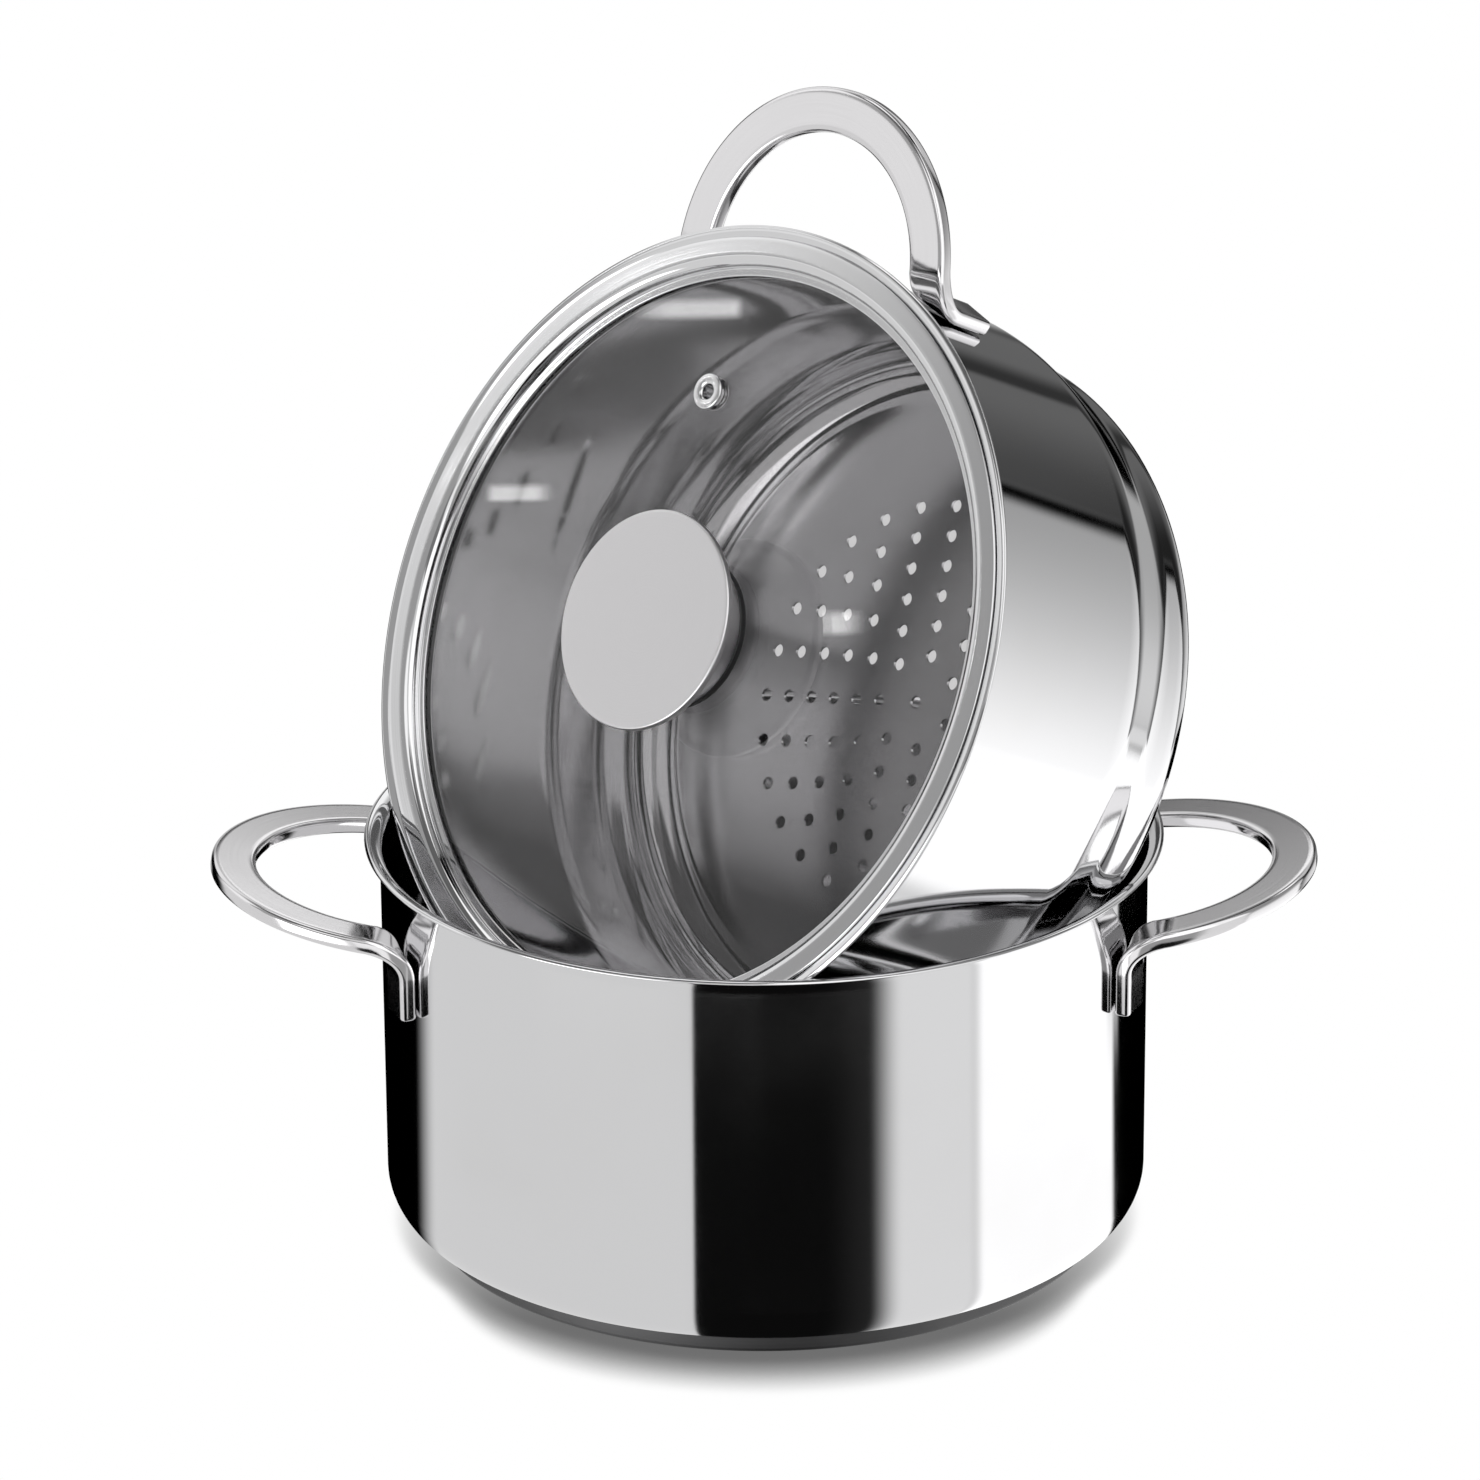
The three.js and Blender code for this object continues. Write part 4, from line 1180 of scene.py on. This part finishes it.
class PASTAPOT_OT_knob(bpy.types.Operator):
    """Makes the knob, its seals, its washer and its screw"""

    bl_idname = "pasta_pot.knob"
    bl_label = "Knob"

    def execute(self, context):
        s = settings()
        lid, k = s.lid, s.knob
        place = lid_place()
        satin = turned_satin("knob_steel", place)
        grain = {"contrast": 1.8, "spread": 0.15, "relief": 0.1}
        black = grained("black_moulding", tuple(s.finish.black), roughness=0.35, scale=900, **grain)
        rubber = grained("silicone_rubber", tuple(s.finish.silicone), roughness=0.6, scale=500, **grain)
        glass_top, glass_under = -lid.recess, -lid.recess - lid.glass
        foot_low = glass_top + 2 * lid.seat + k.seal
        foot_top = foot_low + k.foot_height
        low = foot_top + lid.seat
        top = glass_top + k.height
        cone = k.radius - k.undercut
        rim_low = top - k.rim
        corner = 0.5 * MM
        shell = [
            (k.foot_radius - k.sheet, low, BROKEN), (k.foot_radius, low, EASED),
            (cone, rim_low, corner), (k.radius, rim_low, SOFT),
            (k.radius, top, SOFT), (0, top, 0),
            (0, top - k.sheet, 0), (cone - k.sheet, top - k.sheet, EASED),
            (cone - k.sheet, rim_low, EASED),
        ]
        row = ("lid", "satin_steel", "knob_shell")
        add_turned("knob_cap", shell, place, satin, *row, closed=True, segments=KNOB_SEGMENTS)

        hollow = k.insert_radius + lid.seat
        insert_top = foot_low + k.insert_height
        core_top = foot_top + k.core_height
        core_edge = 0.8 * MM
        core = [
            (hollow, foot_low, BROKEN), (k.foot_radius, foot_low, SOFT),
            (k.foot_radius, foot_top, SOFT), (k.core_radius, foot_top, corner),
            (k.core_radius, core_top, core_edge), (0, core_top, 0),
            (0, insert_top + lid.seat, 0), (hollow, insert_top + lid.seat, BROKEN),
        ]
        row = ("lid", "black_moulding", "knob_core")
        add_turned("knob_foot", core, place, black, *row, closed=True, segments=CORE_SEGMENTS)

        bore = k.screw / 2 + k.play
        seal_low = glass_under - lid.seat - k.seal
        washer_low = seal_low - lid.seat - k.washer
        seal, washer = ("silicone", "knob_lower_seal"), ("satin_steel", "knob_washer")
        for name, outer, under, sheet, edge, finish, row in (
            ("knob_gasket", k.seal_radius, seal_low, k.seal, EASED, rubber, seal),
            ("knob_shim", k.washer_radius, washer_low, k.washer, BROKEN, satin, washer),
        ):
            over = under + sheet
            ring = [(bore, under, edge), (outer, under, edge), (outer, over, edge), (bore, over, edge)]
            add_turned(name, ring, place, finish, "lid", *row, closed=True, segments=SMALL_SEGMENTS)

        head_top = washer_low - lid.seat
        head_low = head_top - k.head_height
        screw = rounded([
            (0, head_low, 0), (k.head_radius, head_low, k.head_height / 2),
            (k.head_radius, head_top, BROKEN), (k.screw / 2, head_top, BROKEN),
            (k.screw / 2, insert_top - lid.seat, EASED), (0, insert_top - lid.seat, 0),
        ])
        reach, half = 4 * k.head_radius, k.slot_width / 2
        levels = (head_low - MM, head_low + k.slot_depth)
        corners = [(x, y, z) for x in (-reach, reach) for y in (-half, half) for z in levels]
        sides = [(0, 1, 3, 2), (4, 6, 7, 5), (0, 4, 5, 1), (2, 3, 7, 6), (0, 2, 6, 4), (1, 5, 7, 3)]
        bolt = cut(turned("knob_bolt", screw, SMALL_SEGMENTS), to_mesh("slot", corners, sides))
        add_piece("knob_bolt", bolt, place, satin, "lid", "satin_steel", "knob_screw")
        dress_node("knob_insert", satin)
        dress_node("knob_upper_seal", rubber)
        return {"FINISHED"}


class VIEW3D_PT_pasta_pot(bpy.types.Panel):
    """Lists what builds the pasta pot"""

    bl_label = "Pasta Pot"
    bl_space_type = "VIEW_3D"
    bl_region_type = "UI"
    bl_category = "Pasta Pot"

    def draw(self, context):
        column = self.layout.column()
        for operator in OPERATORS:
            column.operator(operator.bl_idname)
        for group in ("pot", "strap", "basket", "lid", "knob", "finish", "studio"):
            box = self.layout.box()
            box.label(text=group.title())
            values = getattr(context.scene.pasta_pot, group)
            for name in values.bl_rna.properties.keys():
                if name not in ("rna_type", "name"):
                    box.prop(values, name)


OPERATORS = (
    PASTAPOT_OT_stage,
    PASTAPOT_OT_pot,
    PASTAPOT_OT_handles,
    PASTAPOT_OT_basket,
    PASTAPOT_OT_lid,
    PASTAPOT_OT_knob,
)
GROUPS = (PotSizes, StrapSizes, BasketSizes, LidSizes, KnobSizes, Finishes, Studio, PastaPot)
CLASSES = (*GROUPS, *OPERATORS, VIEW3D_PT_pasta_pot)


def register():
    for each in CLASSES:
        bpy.utils.register_class(each)
    bpy.types.Scene.pasta_pot = PointerProperty(type=PastaPot)


def unregister():
    del bpy.types.Scene.pasta_pot
    for each in reversed(CLASSES):
        bpy.utils.unregister_class(each)


def main():
    register()
    bpy.ops.pasta_pot.stage()
    bpy.ops.pasta_pot.pot()
    bpy.ops.pasta_pot.handles()
    bpy.ops.pasta_pot.basket()
    bpy.ops.pasta_pot.lid()
    bpy.ops.pasta_pot.knob()


if __name__ == "__main__":
    main()
